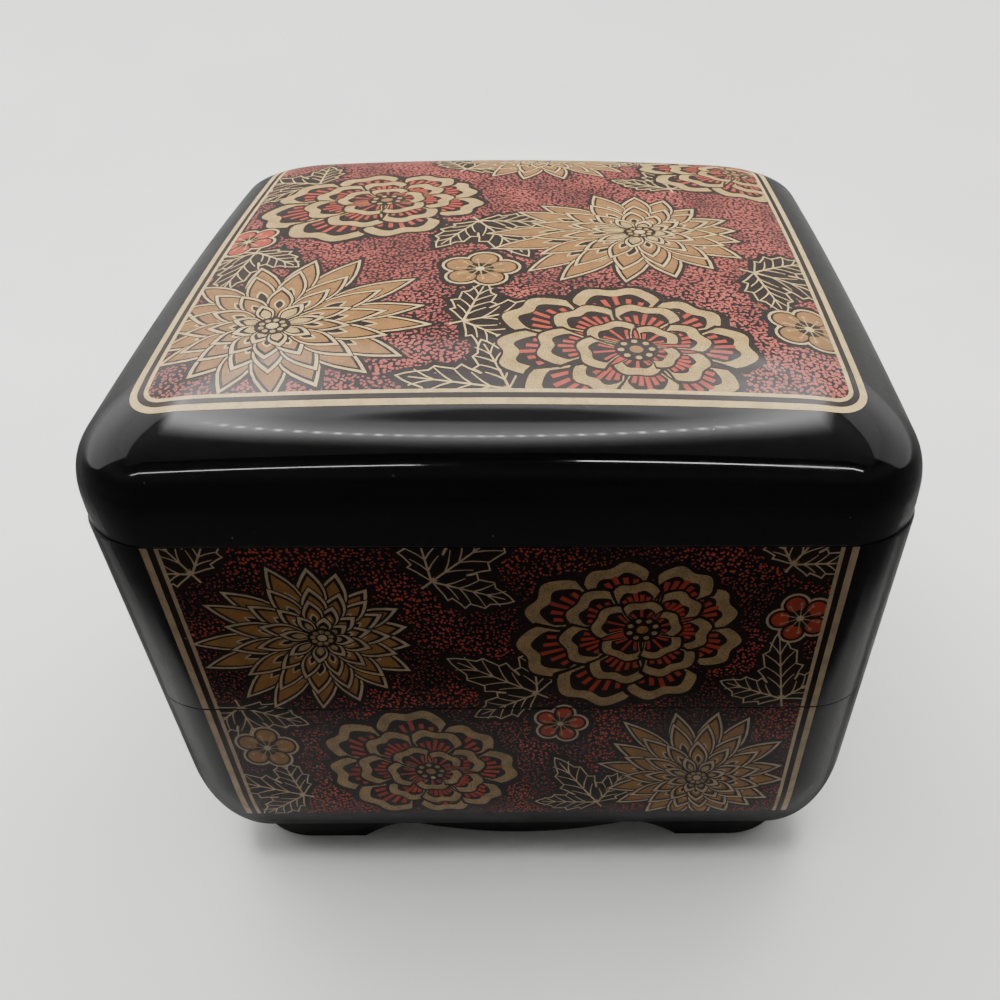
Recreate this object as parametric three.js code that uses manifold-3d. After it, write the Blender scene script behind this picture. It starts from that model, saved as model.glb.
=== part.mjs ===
import * as THREE from 'three';
import { mergeVertices } from 'three/addons/utils/BufferGeometryUtils.js';
import Module from 'manifold-3d';

// A square lacquered stacking box: two trays under a crowned lid, on a cusped foot ring.
// Millimetres, +Z up. The origin is on the ground, under the middle of the box.

// Outline of the box
const WIDTH = 165; // outside of the square body, face to face
const TRAY_CORNER = 15.8; // radius of the trays' upright corners
const LID_CORNER = 17; // radius of the lid's upright corners at its seam
const LID_CORNER_LEAST = 11; // radius that the lid's corners settle to across its top
const LID_CORNER_FADE = 8; // inset over which most of that change happens
const BASE_CORNER_TAPER = 0.6; // share of its inset that the base's corner loses from its radius
const CORNER_LEAST = 2.5; // smallest upright corner inside the mouldings

// Heights, from the ground up
const FOOT_HEIGHT = 8.3;
const LOWER_HEIGHT = 53;
const UPPER_HEIGHT = 45.2;
const LID_RISE = 21.4; // from the lid's seam to its shoulder
const LID_CROWN = 6.2; // further rise of the crowned top at its centre

// Mouldings
const WALL = 3.8; // upright walls of trays and lid
const FLOOR = 3; // floors of the trays
const FLOOR_FILLET = 6; // round between the upper tray's wall and floor
const LID_SKIN = 3.4; // thickness of the lid's crowned top
const SEAM_EASE = 0.3; // eased edge on both sides of each seam

// Stepped rims: each tray's inner lip stands up inside the skirt of the piece above
const SKIRT = 1.8;
const LIP_HEIGHT = 4;
const LIP_CLEARANCE = 0.3; // beside the lip
const LIP_HEADROOM = 0.4; // above the lip
const LIP_EASE = 0.4;

// Soft shoulder of the lid: a superellipse that blends the upright skirt into the top
const SHOULDER_REACH = 49.5; // how far in from the skirt the shoulder runs
const SHOULDER_POWER = 3.6;

// Rounded underside of the lower tray
const BASE_ROUND_HEIGHT = 24.5;
const BASE_ROUND_INSET = 9.3;

// Foot ring
const FOOT_INSET = 8.5; // from the body's face to the ring's face
const FOOT_CORNER = 17;
const FOOT_WALL = 6;
const FOOT_ROUND = 0.8; // outer edge of the soles
const FOOT_EASE = 0.5; // inner edge of the soles
const FOOT_LENGTH = 31.6; // sole of a corner foot, along each side
const CUSP_RUN = 13.6; // from the end of a sole to the cusp beside it
const CUSP_HEIGHT = 6;
const APRON_GAP = 1.4; // from the ground to the middle of the apron
const PAD_DEPTH = 1.5; // locating pad under the tray, inside the ring
const PAD_CLEARANCE = 0.3;

// Smoothness of the curved forms
const CORNER_STEPS = 7;
const LID_EDGE_STEPS = 8;
const SHOULDER_STEPS = 14;
const CROWN_RINGS = 3;
const BASE_STEPS = 9;
const FILLET_STEPS = 4;
const APRON_STEPS = 8;

const HALF = WIDTH / 2;
const lowerBase = FOOT_HEIGHT;
const lowerRim = lowerBase + LOWER_HEIGHT;
const upperRim = lowerRim + UPPER_HEIGHT;
const rebate = LIP_HEIGHT + LIP_HEADROOM;
const lipInset = SKIRT + LIP_CLEARANCE;
const quarter = Math.PI / 2;

const wasm = await Module();
wasm.setup();

// Upright corner radius left after an inset
function cornerAfter(corner, inset, share = 1) {
  return Math.max(corner - inset * share, CORNER_LEAST);
}

// One rounded-square ring of points, counter-clockwise from above. height is a number or a
// function of the place, for rings that lie on a crowned surface.
function squareRing(half, corner, height, edgeSteps = 1) {
  const heightAt = typeof height === 'function' ? height : () => height;
  const points = [];
  for (let side = 0; side < 4; side++) {
    const turn = side * quarter;
    const along = new THREE.Vector2(-Math.sin(turn), Math.cos(turn));
    const out = new THREE.Vector2(Math.cos(turn), Math.sin(turn));
    const run = half - corner;
    for (let step = 0; step < edgeSteps; step++) {
      const place = -run + (2 * run * step) / edgeSteps;
      points.push(out.clone().multiplyScalar(half).addScaledVector(along, place));
    }
    for (let step = 0; step < CORNER_STEPS; step++) {
      const angle = (quarter * step) / CORNER_STEPS;
      const centre = out.clone().multiplyScalar(run).addScaledVector(along, run);
      centre.addScaledVector(out, corner * Math.cos(angle));
      points.push(centre.addScaledVector(along, corner * Math.sin(angle)));
    }
  }
  return points.map((point) => new THREE.Vector3(point.x, point.y, heightAt(point.x, point.y)));
}

// Ring set in from the tray's outline
function trayRing(inset, height, corner = cornerAfter(TRAY_CORNER, inset)) {
  return squareRing(HALF - inset, corner, height);
}

// Closed body through a list of rings. With a first and a last point it is capped by fans, and
// without them its last ring joins its first. Rings run outwards, down the outside and back in.
function loft(rings, first, last) {
  const count = rings[0].length;
  const points = rings.flat();
  const faces = [];
  const bands = first ? rings.length - 1 : rings.length;
  for (let band = 0; band < bands; band++) {
    const upper = band * count;
    const lower = ((band + 1) % rings.length) * count;
    for (let step = 0; step < count; step++) {
      const next = (step + 1) % count;
      faces.push(upper + step, lower + step, lower + next);
      faces.push(upper + step, lower + next, upper + next);
    }
  }
  if (first) {
    const firstIndex = points.push(first) - 1;
    const lastIndex = points.push(last) - 1;
    const end = (rings.length - 1) * count;
    for (let step = 0; step < count; step++) {
      const next = (step + 1) % count;
      faces.push(firstIndex, step, next);
      faces.push(end + step, lastIndex, end + next);
    }
  }
  const geometry = new THREE.BufferGeometry().setFromPoints(points);
  geometry.setIndex(faces);
  return geometry;
}

// Rings over a stepped tray rim, from the inner wall over the lip to the eased outer edge
function rimRings(rim) {
  return [
    trayRing(WALL, rim + LIP_HEIGHT - LIP_EASE),
    trayRing(WALL + LIP_EASE - LIP_EASE / 2, rim + LIP_HEIGHT - LIP_EASE / 4),
    trayRing(lipInset + LIP_EASE, rim + LIP_HEIGHT),
    trayRing(lipInset, rim + LIP_HEIGHT - LIP_EASE),
    trayRing(lipInset, rim),
    trayRing(SEAM_EASE, rim),
    trayRing(0, rim - SEAM_EASE),
  ];
}

// Upper tray: filleted inside, and hollowed underneath so that its skirt drops over a lip
function upperTray() {
  const floorTop = lowerRim + rebate + FLOOR;
  const rings = [];
  for (let step = 0; step <= FILLET_STEPS; step++) {
    const angle = (quarter * step) / FILLET_STEPS;
    const inset = WALL + FLOOR_FILLET * (1 - Math.sin(angle));
    rings.push(trayRing(inset, floorTop + FLOOR_FILLET * (1 - Math.cos(angle))));
  }
  rings.push(...rimRings(upperRim));
  rings.push(
    trayRing(0, lowerRim + SEAM_EASE),
    trayRing(SEAM_EASE, lowerRim),
    trayRing(SKIRT, lowerRim),
    trayRing(SKIRT, lowerRim + rebate),
  );
  return loft(rings, new THREE.Vector3(0, 0, floorTop), new THREE.Vector3(0, 0, lowerRim + rebate));
}

// Ring of the lower tray's rounded base: the outer skin at thickness 0, the inner one inside it
function baseRing(angle, wall, floor) {
  const drawIn = BASE_ROUND_INSET * (1 - Math.cos(angle));
  const corner = cornerAfter(TRAY_CORNER - wall, drawIn, BASE_CORNER_TAPER);
  const top = lowerBase + BASE_ROUND_HEIGHT;
  return trayRing(wall + drawIn, top - (BASE_ROUND_HEIGHT - floor) * Math.sin(angle), corner);
}

// Lower tray: drawn in towards a flat underside with a shallow pad that centres the foot ring
function lowerTray() {
  const floorTop = lowerBase + FLOOR;
  const rings = [];
  for (let step = BASE_STEPS; step >= 0; step--) {
    rings.push(baseRing((quarter * step) / BASE_STEPS, WALL, FLOOR));
  }
  rings.push(...rimRings(lowerRim));
  for (let step = 0; step <= BASE_STEPS; step++) {
    rings.push(baseRing((quarter * step) / BASE_STEPS, 0, 0));
  }
  const padInset = FOOT_WALL + PAD_CLEARANCE;
  rings.push(footOutline(padInset, lowerBase), footOutline(padInset, lowerBase - PAD_DEPTH));
  const padCentre = new THREE.Vector3(0, 0, lowerBase - PAD_DEPTH);
  return loft(rings, new THREE.Vector3(0, 0, floorTop), padCentre);
}

// Crowned height above the shoulder, at a place inside a square of the given half width
function crown(x, y, half) {
  return (LID_CROWN / 2) * (2 - (x / half) ** 2 - (y / half) ** 2);
}

// Upright corner radius of the lid at an inset from its skirt, on its outer or inner skin
function lidCorner(inset, wall) {
  const spare = LID_CORNER - LID_CORNER_LEAST;
  return cornerAfter(LID_CORNER_LEAST + spare * Math.exp(-inset / LID_CORNER_FADE), wall);
}

// Ring on the lid's soft shoulder. angle 0 is at the skirt and a quarter turn at the inner end.
// wall and skin set the inner surface in from the outer one.
function shoulderRing(angle, wall, skin) {
  const reach = SHOULDER_REACH - wall;
  const inset = reach * (1 - Math.cos(angle) ** (2 / SHOULDER_POWER));
  const share = Math.sin(angle) ** (2 / SHOULDER_POWER);
  const half = HALF - wall - inset;
  const corner = lidCorner(inset, wall);
  const top = upperRim + (LID_RISE - skin) * share;
  return squareRing(half, corner, (x, y) => top + crown(x, y, HALF) * share, LID_EDGE_STEPS);
}

// Rings across the crowned middle of the lid, from its centre out to the shoulder's inner end
function crownRings(wall, skin) {
  const rings = [];
  const end = HALF - SHOULDER_REACH;
  const corner = lidCorner(SHOULDER_REACH - wall, wall);
  for (let ring = 1; ring < CROWN_RINGS; ring++) {
    const share = ring / CROWN_RINGS;
    const heightAt = (x, y) => upperRim + LID_RISE - skin + crown(x, y, HALF);
    rings.push(squareRing(end * share, corner * share, heightAt, LID_EDGE_STEPS));
  }
  return rings;
}

// Lid ring below the shoulder, set in from the lid's own outline
function skirtRing(inset, corner, height) {
  return squareRing(HALF - inset, corner, height, LID_EDGE_STEPS);
}

// Crowned lid: a hollow shell whose skirt has a rebate inside for the tray's lip
function crownedLid() {
  const centreHeight = upperRim + LID_RISE + crown(0, 0, HALF);
  const rings = crownRings(0, 0);
  const least = 0.12; // the first shoulder ring stands clear of the skirt's foot
  for (let step = SHOULDER_STEPS; step >= 0; step--) {
    const angle = least + ((quarter - least) * step) / SHOULDER_STEPS;
    rings.push(shoulderRing(angle, 0, 0));
  }
  const rebateCorner = TRAY_CORNER - SKIRT;
  const wallCorner = TRAY_CORNER - WALL;
  rings.push(
    skirtRing(0, LID_CORNER, upperRim + SEAM_EASE),
    skirtRing(SEAM_EASE, LID_CORNER - SEAM_EASE, upperRim),
    skirtRing(SKIRT, rebateCorner, upperRim),
    skirtRing(SKIRT, rebateCorner, upperRim + rebate),
    skirtRing(WALL, wallCorner, upperRim + rebate),
  );
  const innerLeast = 0.3; // the inner shoulder starts above the rebate
  for (let step = 0; step <= SHOULDER_STEPS; step++) {
    const angle = innerLeast + ((quarter - innerLeast) * step) / SHOULDER_STEPS;
    rings.push(shoulderRing(angle, WALL, LID_SKIN));
  }
  rings.push(...crownRings(WALL, LID_SKIN).reverse());
  const top = new THREE.Vector3(0, 0, centreHeight);
  return loft(rings, top, new THREE.Vector3(0, 0, centreHeight - LID_SKIN));
}

// Outline of the foot ring's outer face, set in by an inset
const footHalf = HALF - FOOT_INSET;

function footOutline(inset, height) {
  return squareRing(footHalf - inset, cornerAfter(FOOT_CORNER, inset), height);
}

// Solid ring of the foot before its sides are cut out, with rounded soles
function footBlank() {
  const rings = [footOutline(0, lowerBase)];
  for (let step = 0; step <= FILLET_STEPS; step++) {
    const angle = (quarter * step) / FILLET_STEPS;
    const inset = FOOT_ROUND * (1 - Math.cos(angle));
    rings.push(footOutline(inset, FOOT_ROUND * (1 - Math.sin(angle))));
  }
  rings.push(
    footOutline(FOOT_WALL - FOOT_EASE, 0),
    footOutline(FOOT_WALL, FOOT_EASE),
    footOutline(FOOT_WALL, lowerBase),
  );
  return loft(rings);
}

// Outline of the gap between two feet: a curve up to each cusp, and a low bowed apron between them
function apronOutline() {
  const soleEnd = footHalf - FOOT_LENGTH;
  const cusp = soleEnd - CUSP_RUN;
  const below = -FOOT_ROUND;
  const outline = new THREE.Shape();
  outline.moveTo(-soleEnd, below);
  outline.lineTo(-soleEnd, 0);
  outline.quadraticCurveTo(-soleEnd + CUSP_RUN / 2, CUSP_HEIGHT, -cusp, CUSP_HEIGHT);
  outline.quadraticCurveTo(-cusp / 2, APRON_GAP, 0, APRON_GAP);
  outline.quadraticCurveTo(cusp / 2, APRON_GAP, cusp, CUSP_HEIGHT);
  outline.quadraticCurveTo(soleEnd - CUSP_RUN / 2, CUSP_HEIGHT, soleEnd, 0);
  outline.lineTo(soleEnd, below);
  outline.closePath();
  return outline;
}

// Closed geometry as a solid for cutting
function toSolid(geometry) {
  const bare = geometry.clone();
  bare.deleteAttribute('normal');
  bare.deleteAttribute('uv');
  const merged = mergeVertices(bare);
  return new wasm.Manifold(new wasm.Mesh({
    numProp: 3,
    vertProperties: new Float32Array(merged.attributes.position.array),
    triVerts: new Uint32Array(merged.index.array),
  }));
}

// Solid back to a geometry
function toGeometry(solid) {
  const cut = solid.getMesh();
  const geometry = new THREE.BufferGeometry();
  geometry.setAttribute('position', new THREE.BufferAttribute(cut.vertProperties, 3));
  geometry.setIndex(new THREE.BufferAttribute(cut.triVerts, 1));
  return geometry;
}

// Foot ring: four corner feet joined by cusped aprons, cut right through along both axes
function footRing() {
  const options = { depth: WIDTH, bevelEnabled: false, curveSegments: APRON_STEPS };
  const cutter = new THREE.ExtrudeGeometry(apronOutline(), options);
  cutter.translate(0, 0, -HALF).rotateX(quarter);
  const throughFront = toSolid(cutter);
  const throughSide = toSolid(cutter.clone().rotateZ(quarter));
  return toGeometry(toSolid(footBlank()).subtract(throughFront).subtract(throughSide));
}

// Black gloss lacquer over the moulded pieces, a little duller on the foot
function lacquer(roughness) {
  return new THREE.MeshStandardMaterial({ color: 0x0c0a0a, roughness, metalness: 0 });
}

function piece(name, geometry, material) {
  const mesh = new THREE.Mesh(geometry, material);
  mesh.name = name;
  return mesh;
}

const box = new THREE.Group();
box.add(
  piece('foot_ring', footRing(), lacquer(0.35)),
  piece('lower_tray', lowerTray(), lacquer(0.12)),
  piece('upper_tray', upperTray(), lacquer(0.12)),
  piece('lid', crownedLid(), lacquer(0.1)),
);

export default box;
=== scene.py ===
"""Looks of a square lacquered stacking box: two trays under a crowned lid, on a cusped foot ring.

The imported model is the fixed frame. Each moulding is rebuilt here with soft edges over its solid,
and the printed pattern lies on the lid and on the four sides as a thin film of ink that follows the
surface under it. Lengths are in metres, except in the pattern, which is drawn in millimetres.
"""

from __future__ import annotations

import logging
import math
from dataclasses import dataclass, replace
from enum import Enum
from functools import partial, reduce
from typing import Callable, Iterator, Sequence

import bpy
import numpy as np
from mathutils import Matrix, Vector
from mathutils.geometry import delaunay_2d_cdt


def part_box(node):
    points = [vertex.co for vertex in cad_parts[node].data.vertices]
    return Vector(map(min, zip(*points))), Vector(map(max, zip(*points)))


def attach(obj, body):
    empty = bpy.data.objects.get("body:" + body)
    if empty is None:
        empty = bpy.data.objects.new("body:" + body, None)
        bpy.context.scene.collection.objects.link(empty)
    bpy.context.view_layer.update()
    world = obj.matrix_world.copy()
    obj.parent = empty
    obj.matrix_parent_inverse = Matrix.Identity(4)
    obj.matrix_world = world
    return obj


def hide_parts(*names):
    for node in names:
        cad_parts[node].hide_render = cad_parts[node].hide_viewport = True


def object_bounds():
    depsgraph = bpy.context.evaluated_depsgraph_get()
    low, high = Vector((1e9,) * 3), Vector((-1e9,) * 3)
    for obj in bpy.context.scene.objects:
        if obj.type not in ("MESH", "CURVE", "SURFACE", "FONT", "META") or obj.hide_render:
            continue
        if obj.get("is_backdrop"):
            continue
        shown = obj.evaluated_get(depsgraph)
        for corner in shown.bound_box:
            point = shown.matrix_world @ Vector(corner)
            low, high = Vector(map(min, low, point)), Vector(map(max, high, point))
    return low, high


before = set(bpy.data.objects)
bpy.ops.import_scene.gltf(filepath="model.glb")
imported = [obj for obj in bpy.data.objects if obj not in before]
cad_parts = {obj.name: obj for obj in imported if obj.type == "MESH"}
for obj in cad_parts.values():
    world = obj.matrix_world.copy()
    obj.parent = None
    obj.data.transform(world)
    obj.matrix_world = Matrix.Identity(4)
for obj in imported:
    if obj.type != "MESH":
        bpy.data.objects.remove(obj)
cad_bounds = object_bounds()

log = logging.getLogger("stacking_box")

MM = 0.001
QUARTER = math.pi / 2
SHEET_MARKS = "sheet_marks"
FLOAT = "NodeSocketFloat"
COLOUR = "NodeSocketColor"

Surface = Callable[[np.ndarray], np.ndarray]
Socket = bpy.types.NodeSocket
Feeds = dict[str | int, object]
Pressed = tuple[np.ndarray, np.ndarray, np.ndarray, np.ndarray]
Materials = Sequence[bpy.types.Material]
Pair = tuple[float, float]
Triple = tuple[float, float, float]
Place = tuple[float, float, float]
Tint = tuple[float, float, float]
Ramp = tuple[float, float, float, float]


class Ink(Enum):
    """Printed inks, in the order of the print's material slots."""

    GROUND = 0
    BLACK = 1
    CREAM = 2
    GOLD = 3
    COPPER = 4
    RED = 5


class Side(Enum):
    """The box's upright faces, as quarter turns from the front."""

    FRONT = 0
    RIGHT = 1
    BACK = 2
    LEFT = 3


# Form shared by the mouldings and the print


@dataclass(frozen=True)
class BoxForm:
    """Outer and inner surfaces of the box, as formulas that every moulding and print follows."""

    half: float
    ground_height: float
    lower_rim: float
    upper_rim: float
    top: float
    tray_corner: float = 0.0158
    lid_corner: float = 0.017
    lid_corner_least: float = 0.011
    lid_corner_fade: float = 0.008
    corner_taper: float = 0.6
    corner_least: float = 0.0025
    wall: float = 0.0038
    lid_skin: float = 0.0034
    crown: float = 0.0062
    shoulder_reach: float = 0.0495
    shoulder_power: float = 3.6
    base_round_height: float = 0.0245
    base_round_inset: float = 0.0093
    halvings: int = 30

    @classmethod
    def from_frame(cls) -> BoxForm:
        """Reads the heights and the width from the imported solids.

        Returns:
            The form of this box.
        """
        tray_low, tray_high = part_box("upper_tray")
        lid_low, lid_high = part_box("lid")
        foot_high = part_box("foot_ring")[1]
        return cls(tray_high.x, foot_high.z, tray_low.z, lid_low.z, lid_high.z)

    @property
    def lid_rise(self) -> float:
        """Height from the lid's seam to its shoulder."""
        return self.top - self.crown - self.upper_rim

    def lid_corner_at(self, inset: np.ndarray | float, wall: float = 0.0) -> np.ndarray | float:
        """Upright corner radius of the lid at an inset, on its outer skin or a wall further in."""
        spare = self.lid_corner - self.lid_corner_least
        return self.lid_corner_least - wall + spare * np.exp(-inset / self.lid_corner_fade)

    def shoulder(self, inset: np.ndarray | float, reach: float) -> np.ndarray | float:
        """Share of the full rise at an inset: 0 at the skirt, 1 where the shoulder's reach ends."""
        left = np.clip(1 - inset / reach, 0.0, 1.0)
        return (1 - left**self.shoulder_power) ** (1 / self.shoulder_power)

    def crown_at(self, x: np.ndarray, y: np.ndarray) -> np.ndarray:
        """Rise of the crowned top over the shoulder."""
        return self.crown / 2 * (2 - (x / self.half) ** 2 - (y / self.half) ** 2)

    def lid_inset(self, x: np.ndarray, y: np.ndarray) -> np.ndarray:
        """Inset of the lid's contour through each place, found by halving.

        Args:
            x: Places across the lid.
            y: Places along the lid.

        Returns:
            Distance in from the skirt, up to the shoulder's reach.
        """
        near = np.zeros_like(x)
        far = np.full_like(x, self.shoulder_reach)
        for _ in range(self.halvings):
            middle = (near + far) / 2
            corner = self.lid_corner_at(middle)
            run = self.half - middle - corner
            past_x = np.abs(x) - run
            past_y = np.abs(y) - run
            outside = np.hypot(np.maximum(past_x, 0), np.maximum(past_y, 0))
            outside = outside + np.minimum(np.maximum(past_x, past_y), 0) - corner
            near = np.where(outside < 0, middle, near)
            far = np.where(outside < 0, far, middle)
        return (near + far) / 2

    def lid_surface(self, places: np.ndarray) -> np.ndarray:
        """Points of the lid's top over places in plan.

        Args:
            places: An array of x and y.

        Returns:
            An array of x, y and z.
        """
        x, y = places[:, 0], places[:, 1]
        share = self.shoulder(self.lid_inset(x, y), self.shoulder_reach)
        height = self.upper_rim + (self.lid_rise + self.crown_at(x, y)) * share
        return np.column_stack((x, y, height))

    def draw_in(self, height: np.ndarray | float) -> np.ndarray | float:
        """How far the rounded base has drawn in at a height.

        Args:
            height: Height above the ground.

        Returns:
            The distance in from the upright wall.
        """
        above = self.ground_height + self.base_round_height - height
        down = np.clip(above / self.base_round_height, 0.0, 1.0)
        return self.base_round_inset * (1 - np.sqrt(1 - down**2))

    def tray_corner_at(self, drawn: np.ndarray | float) -> np.ndarray | float:
        """Upright corner radius of the trays where the base has drawn in."""
        return self.tray_corner - self.corner_taper * drawn

    def side_surface(self, places: np.ndarray, side: Side) -> np.ndarray:
        """Points of an upright face over places on it, wrapped round the corners.

        Args:
            places: An array of distance along the face and height.
            side: The face.

        Returns:
            An array of x, y and z.
        """
        along, height = places[:, 0], places[:, 1]
        drawn = self.draw_in(height)
        corner = self.tray_corner_at(drawn)
        run = self.half - drawn - corner
        angle = np.maximum(np.abs(along) - run, 0) / corner
        across = np.sign(along) * (np.minimum(np.abs(along), run) + corner * np.sin(angle))
        out = run + corner * np.cos(angle)
        turn = side.value * QUARTER
        x = across * math.cos(turn) + out * math.sin(turn)
        y = across * math.sin(turn) - out * math.cos(turn)
        return np.column_stack((x, y, height))


# Meshes


def square_ring(
    half: float,
    corner: float,
    height: float | Callable[[np.ndarray, np.ndarray], np.ndarray],
    edge_steps: int = 2,
    corner_steps: int = 18,
) -> np.ndarray:
    """One rounded-square ring of points, counter-clockwise from above.

    Args:
        half: Half of the ring's width.
        corner: Radius of its corners.
        height: Its height, or a function of the place.
        edge_steps: Steps along each straight edge.
        corner_steps: Steps round each corner.

    Returns:
        An array of x, y and z.
    """
    run = half - corner
    edge = np.linspace(-run, run, edge_steps, endpoint=False)
    angle = np.linspace(0.0, QUARTER, corner_steps, endpoint=False)
    out = np.concatenate((np.full(edge_steps, half), run + corner * np.cos(angle)))
    along = np.concatenate((edge, run + corner * np.sin(angle)))
    parts = []
    for side in Side:
        turn = side.value * QUARTER
        x = out * math.cos(turn) - along * math.sin(turn)
        y = out * math.sin(turn) + along * math.cos(turn)
        parts.append(np.column_stack((x, y)))
    plan = np.vstack(parts)
    tall = height(plan[:, 0], plan[:, 1]) if callable(height) else np.full(len(plan), height)
    return np.column_stack((plan, tall))


def softened(corners: Sequence[Triple], steps: int = 4) -> list[Pair]:
    """A profile with its corners rounded.

    Args:
        corners: Inset, height and rounding radius of each corner, in order.
        steps: Steps round each corner.

    Returns:
        Inset and height of each point of the rounded profile.
    """
    made = []
    for index, (inset, height, radius) in enumerate(corners):
        here = np.array([inset, height])
        if radius == 0 or index in (0, len(corners) - 1):
            made.append((inset, height))
            continue
        before = np.array(corners[index - 1][:2]) - here
        after = np.array(corners[index + 1][:2]) - here
        start = here + before / np.linalg.norm(before) * radius
        end = here + after / np.linalg.norm(after) * radius
        for step in range(steps + 1):
            share = step / steps
            point = (1 - share) ** 2 * start + 2 * share * (1 - share) * here + share**2 * end
            made.append((float(point[0]), float(point[1])))
    return made


def add_mesh(name: str, points: np.ndarray, faces: Sequence[Sequence[int]]) -> bpy.types.Object:
    """Adds a smooth-shaded mesh object to the scene.

    Args:
        name: The piece's name.
        points: Its points.
        faces: Its faces, as indices of points.

    Returns:
        The new object.
    """
    mesh = bpy.data.meshes.new(name)
    mesh.from_pydata(points.tolist(), [], [list(face) for face in faces])
    mesh.validate()
    mesh.shade_smooth()
    piece = bpy.data.objects.new(name, mesh)
    bpy.context.collection.objects.link(piece)
    return piece


def mark_sharp(piece: bpy.types.Object, degrees: float = 38.0, weight: int = 60) -> None:
    """Keeps the edges that turn by more than an angle crisp, and evens the shading elsewhere.

    Args:
        piece: The piece.
        degrees: The angle between faces from which an edge is crisp.
        weight: How much the larger faces decide the shading.
    """
    piece.data.set_sharp_from_angle(angle=math.radians(degrees))
    even = piece.modifiers.new("even_shading", "WEIGHTED_NORMAL")
    even.keep_sharp = True
    even.weight = weight


def loft(name: str, rings: Sequence[np.ndarray], ends: Pair | None = None) -> bpy.types.Object:
    """A closed body through rings that run outwards, down the outside and back in.

    Args:
        name: The piece's name.
        rings: The rings, with equal numbers of points.
        ends: Heights of the centre points that close the first and the last ring, or None to join
            the two rings.

    Returns:
        The new object.
    """
    count = len(rings[0])
    points = np.vstack(rings)
    faces = []
    for band in range(len(rings) - (ends is not None)):
        upper, lower = band * count, (band + 1) % len(rings) * count
        for step in range(count):
            after = (step + 1) % count
            faces.append((upper + step, lower + step, lower + after, upper + after))
    if ends is not None:
        start, end = len(points), (len(rings) - 1) * count
        points = np.vstack((points, [[0.0, 0.0, height] for height in ends]))
        for step in range(count):
            after = (step + 1) % count
            faces += [(start, step, after), (end + step, start + 1, end + after)]
    piece = add_mesh(name, points, faces)
    mark_sharp(piece)
    return piece


# Drawing the pattern, in millimetres on a flat sheet


@dataclass(frozen=True)
class Blot:
    """One closed outline filled with an ink. Later blots cover earlier ones."""

    points: np.ndarray
    ink: Ink


def turned(points: np.ndarray, angle: float) -> np.ndarray:
    """Points turned about the origin by an angle."""
    cos, sin = math.cos(angle), math.sin(angle)
    return points @ np.array([[cos, sin], [-sin, cos]])


def from_polar(reach: np.ndarray, angle: np.ndarray) -> np.ndarray:
    """Points at distances and angles from the origin."""
    return np.column_stack((reach * np.cos(angle), reach * np.sin(angle)))


def disc(x: float, y: float, radius: float, steps: int) -> np.ndarray:
    """A round outline."""
    angle = np.linspace(0.0, 2 * math.pi, steps, endpoint=False)
    return from_polar(np.full(steps, radius), angle) + np.array([x, y])


def pointed_petal(base: float, tip: float, width: float, bend: float, steps: int = 8) -> np.ndarray:
    """A pointed petal along +X.

    Args:
        base: Distance at which it starts.
        tip: Distance of its point.
        width: Its full width.
        bend: How far its point sways to the side.
        steps: Steps along each edge.

    Returns:
        Its outline, counter-clockwise.
    """
    share = np.linspace(0.0, 1.0, steps + 1)
    reach = base + (tip - base) * share
    half = width / 2 * np.sin(math.pi * share**1.15)
    sway = bend * share**2
    lower = np.column_stack((reach, sway - half))
    upper = np.column_stack((reach, sway + half))
    return np.vstack((lower, upper[-2:0:-1]))


def round_petal(base: float, tip: float, spread: float, steps: int = 20) -> np.ndarray:
    """A broad petal along +X with a softly waved rim.

    Args:
        base: Distance at which it starts.
        tip: Distance of its rim.
        spread: Half of the angle that it fills.
        steps: Steps along the rim.

    Returns:
        Its outline, counter-clockwise.
    """
    share = np.linspace(0.0, 1.0, 5)[:-1]
    reach = base + (tip * 0.84 - base) * share
    angle = spread * (0.55 + 0.45 * share)
    across = np.linspace(1.0, -1.0, steps + 1)
    arch = 0.16 * np.clip(1 - np.abs(across) ** 2.6, 0, 1) ** 0.75
    wave = 0.035 * np.cos(2 * math.pi * across) * (1 - across**2)
    rim = tip * np.minimum(0.82 + arch - wave, 1.0)
    edge = from_polar(reach, angle)
    other = from_polar(reach, -angle)[::-1]
    return np.vstack((edge, from_polar(rim, across * spread), other))[::-1]


def stroke(points: np.ndarray, start_width: float, end_width: float) -> np.ndarray:
    """A line drawn with a width that changes evenly along it.

    Args:
        points: The line's points.
        start_width: Width at its first point.
        end_width: Width at its last point.

    Returns:
        Its outline.
    """
    along = np.gradient(points, axis=0)
    along = along / np.linalg.norm(along, axis=1)[:, None]
    side = np.column_stack((-along[:, 1], along[:, 0]))
    half = np.linspace(start_width, end_width, len(points))[:, None] / 2
    return np.vstack((points - side * half, (points + side * half)[::-1]))


def grown(points: np.ndarray, distance: float) -> np.ndarray:
    """A closed counter-clockwise outline moved out by a distance, with short mitres.

    Args:
        points: The outline.
        distance: How far it moves out, or in where negative.

    Returns:
        The moved outline.
    """
    one = points - np.roll(points, 1, axis=0)
    two = np.roll(points, -1, axis=0) - points
    one = one / np.maximum(np.linalg.norm(one, axis=1), 1e-9)[:, None]
    two = two / np.maximum(np.linalg.norm(two, axis=1), 1e-9)[:, None]
    out = np.column_stack((one[:, 1] + two[:, 1], -one[:, 0] - two[:, 0]))
    out = out / np.maximum(np.linalg.norm(out, axis=1), 1e-9)[:, None]
    facing = (out * np.column_stack((one[:, 1], -one[:, 0]))).sum(axis=1)
    return points + out * (distance / np.maximum(facing, 0.55))[:, None]


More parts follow.
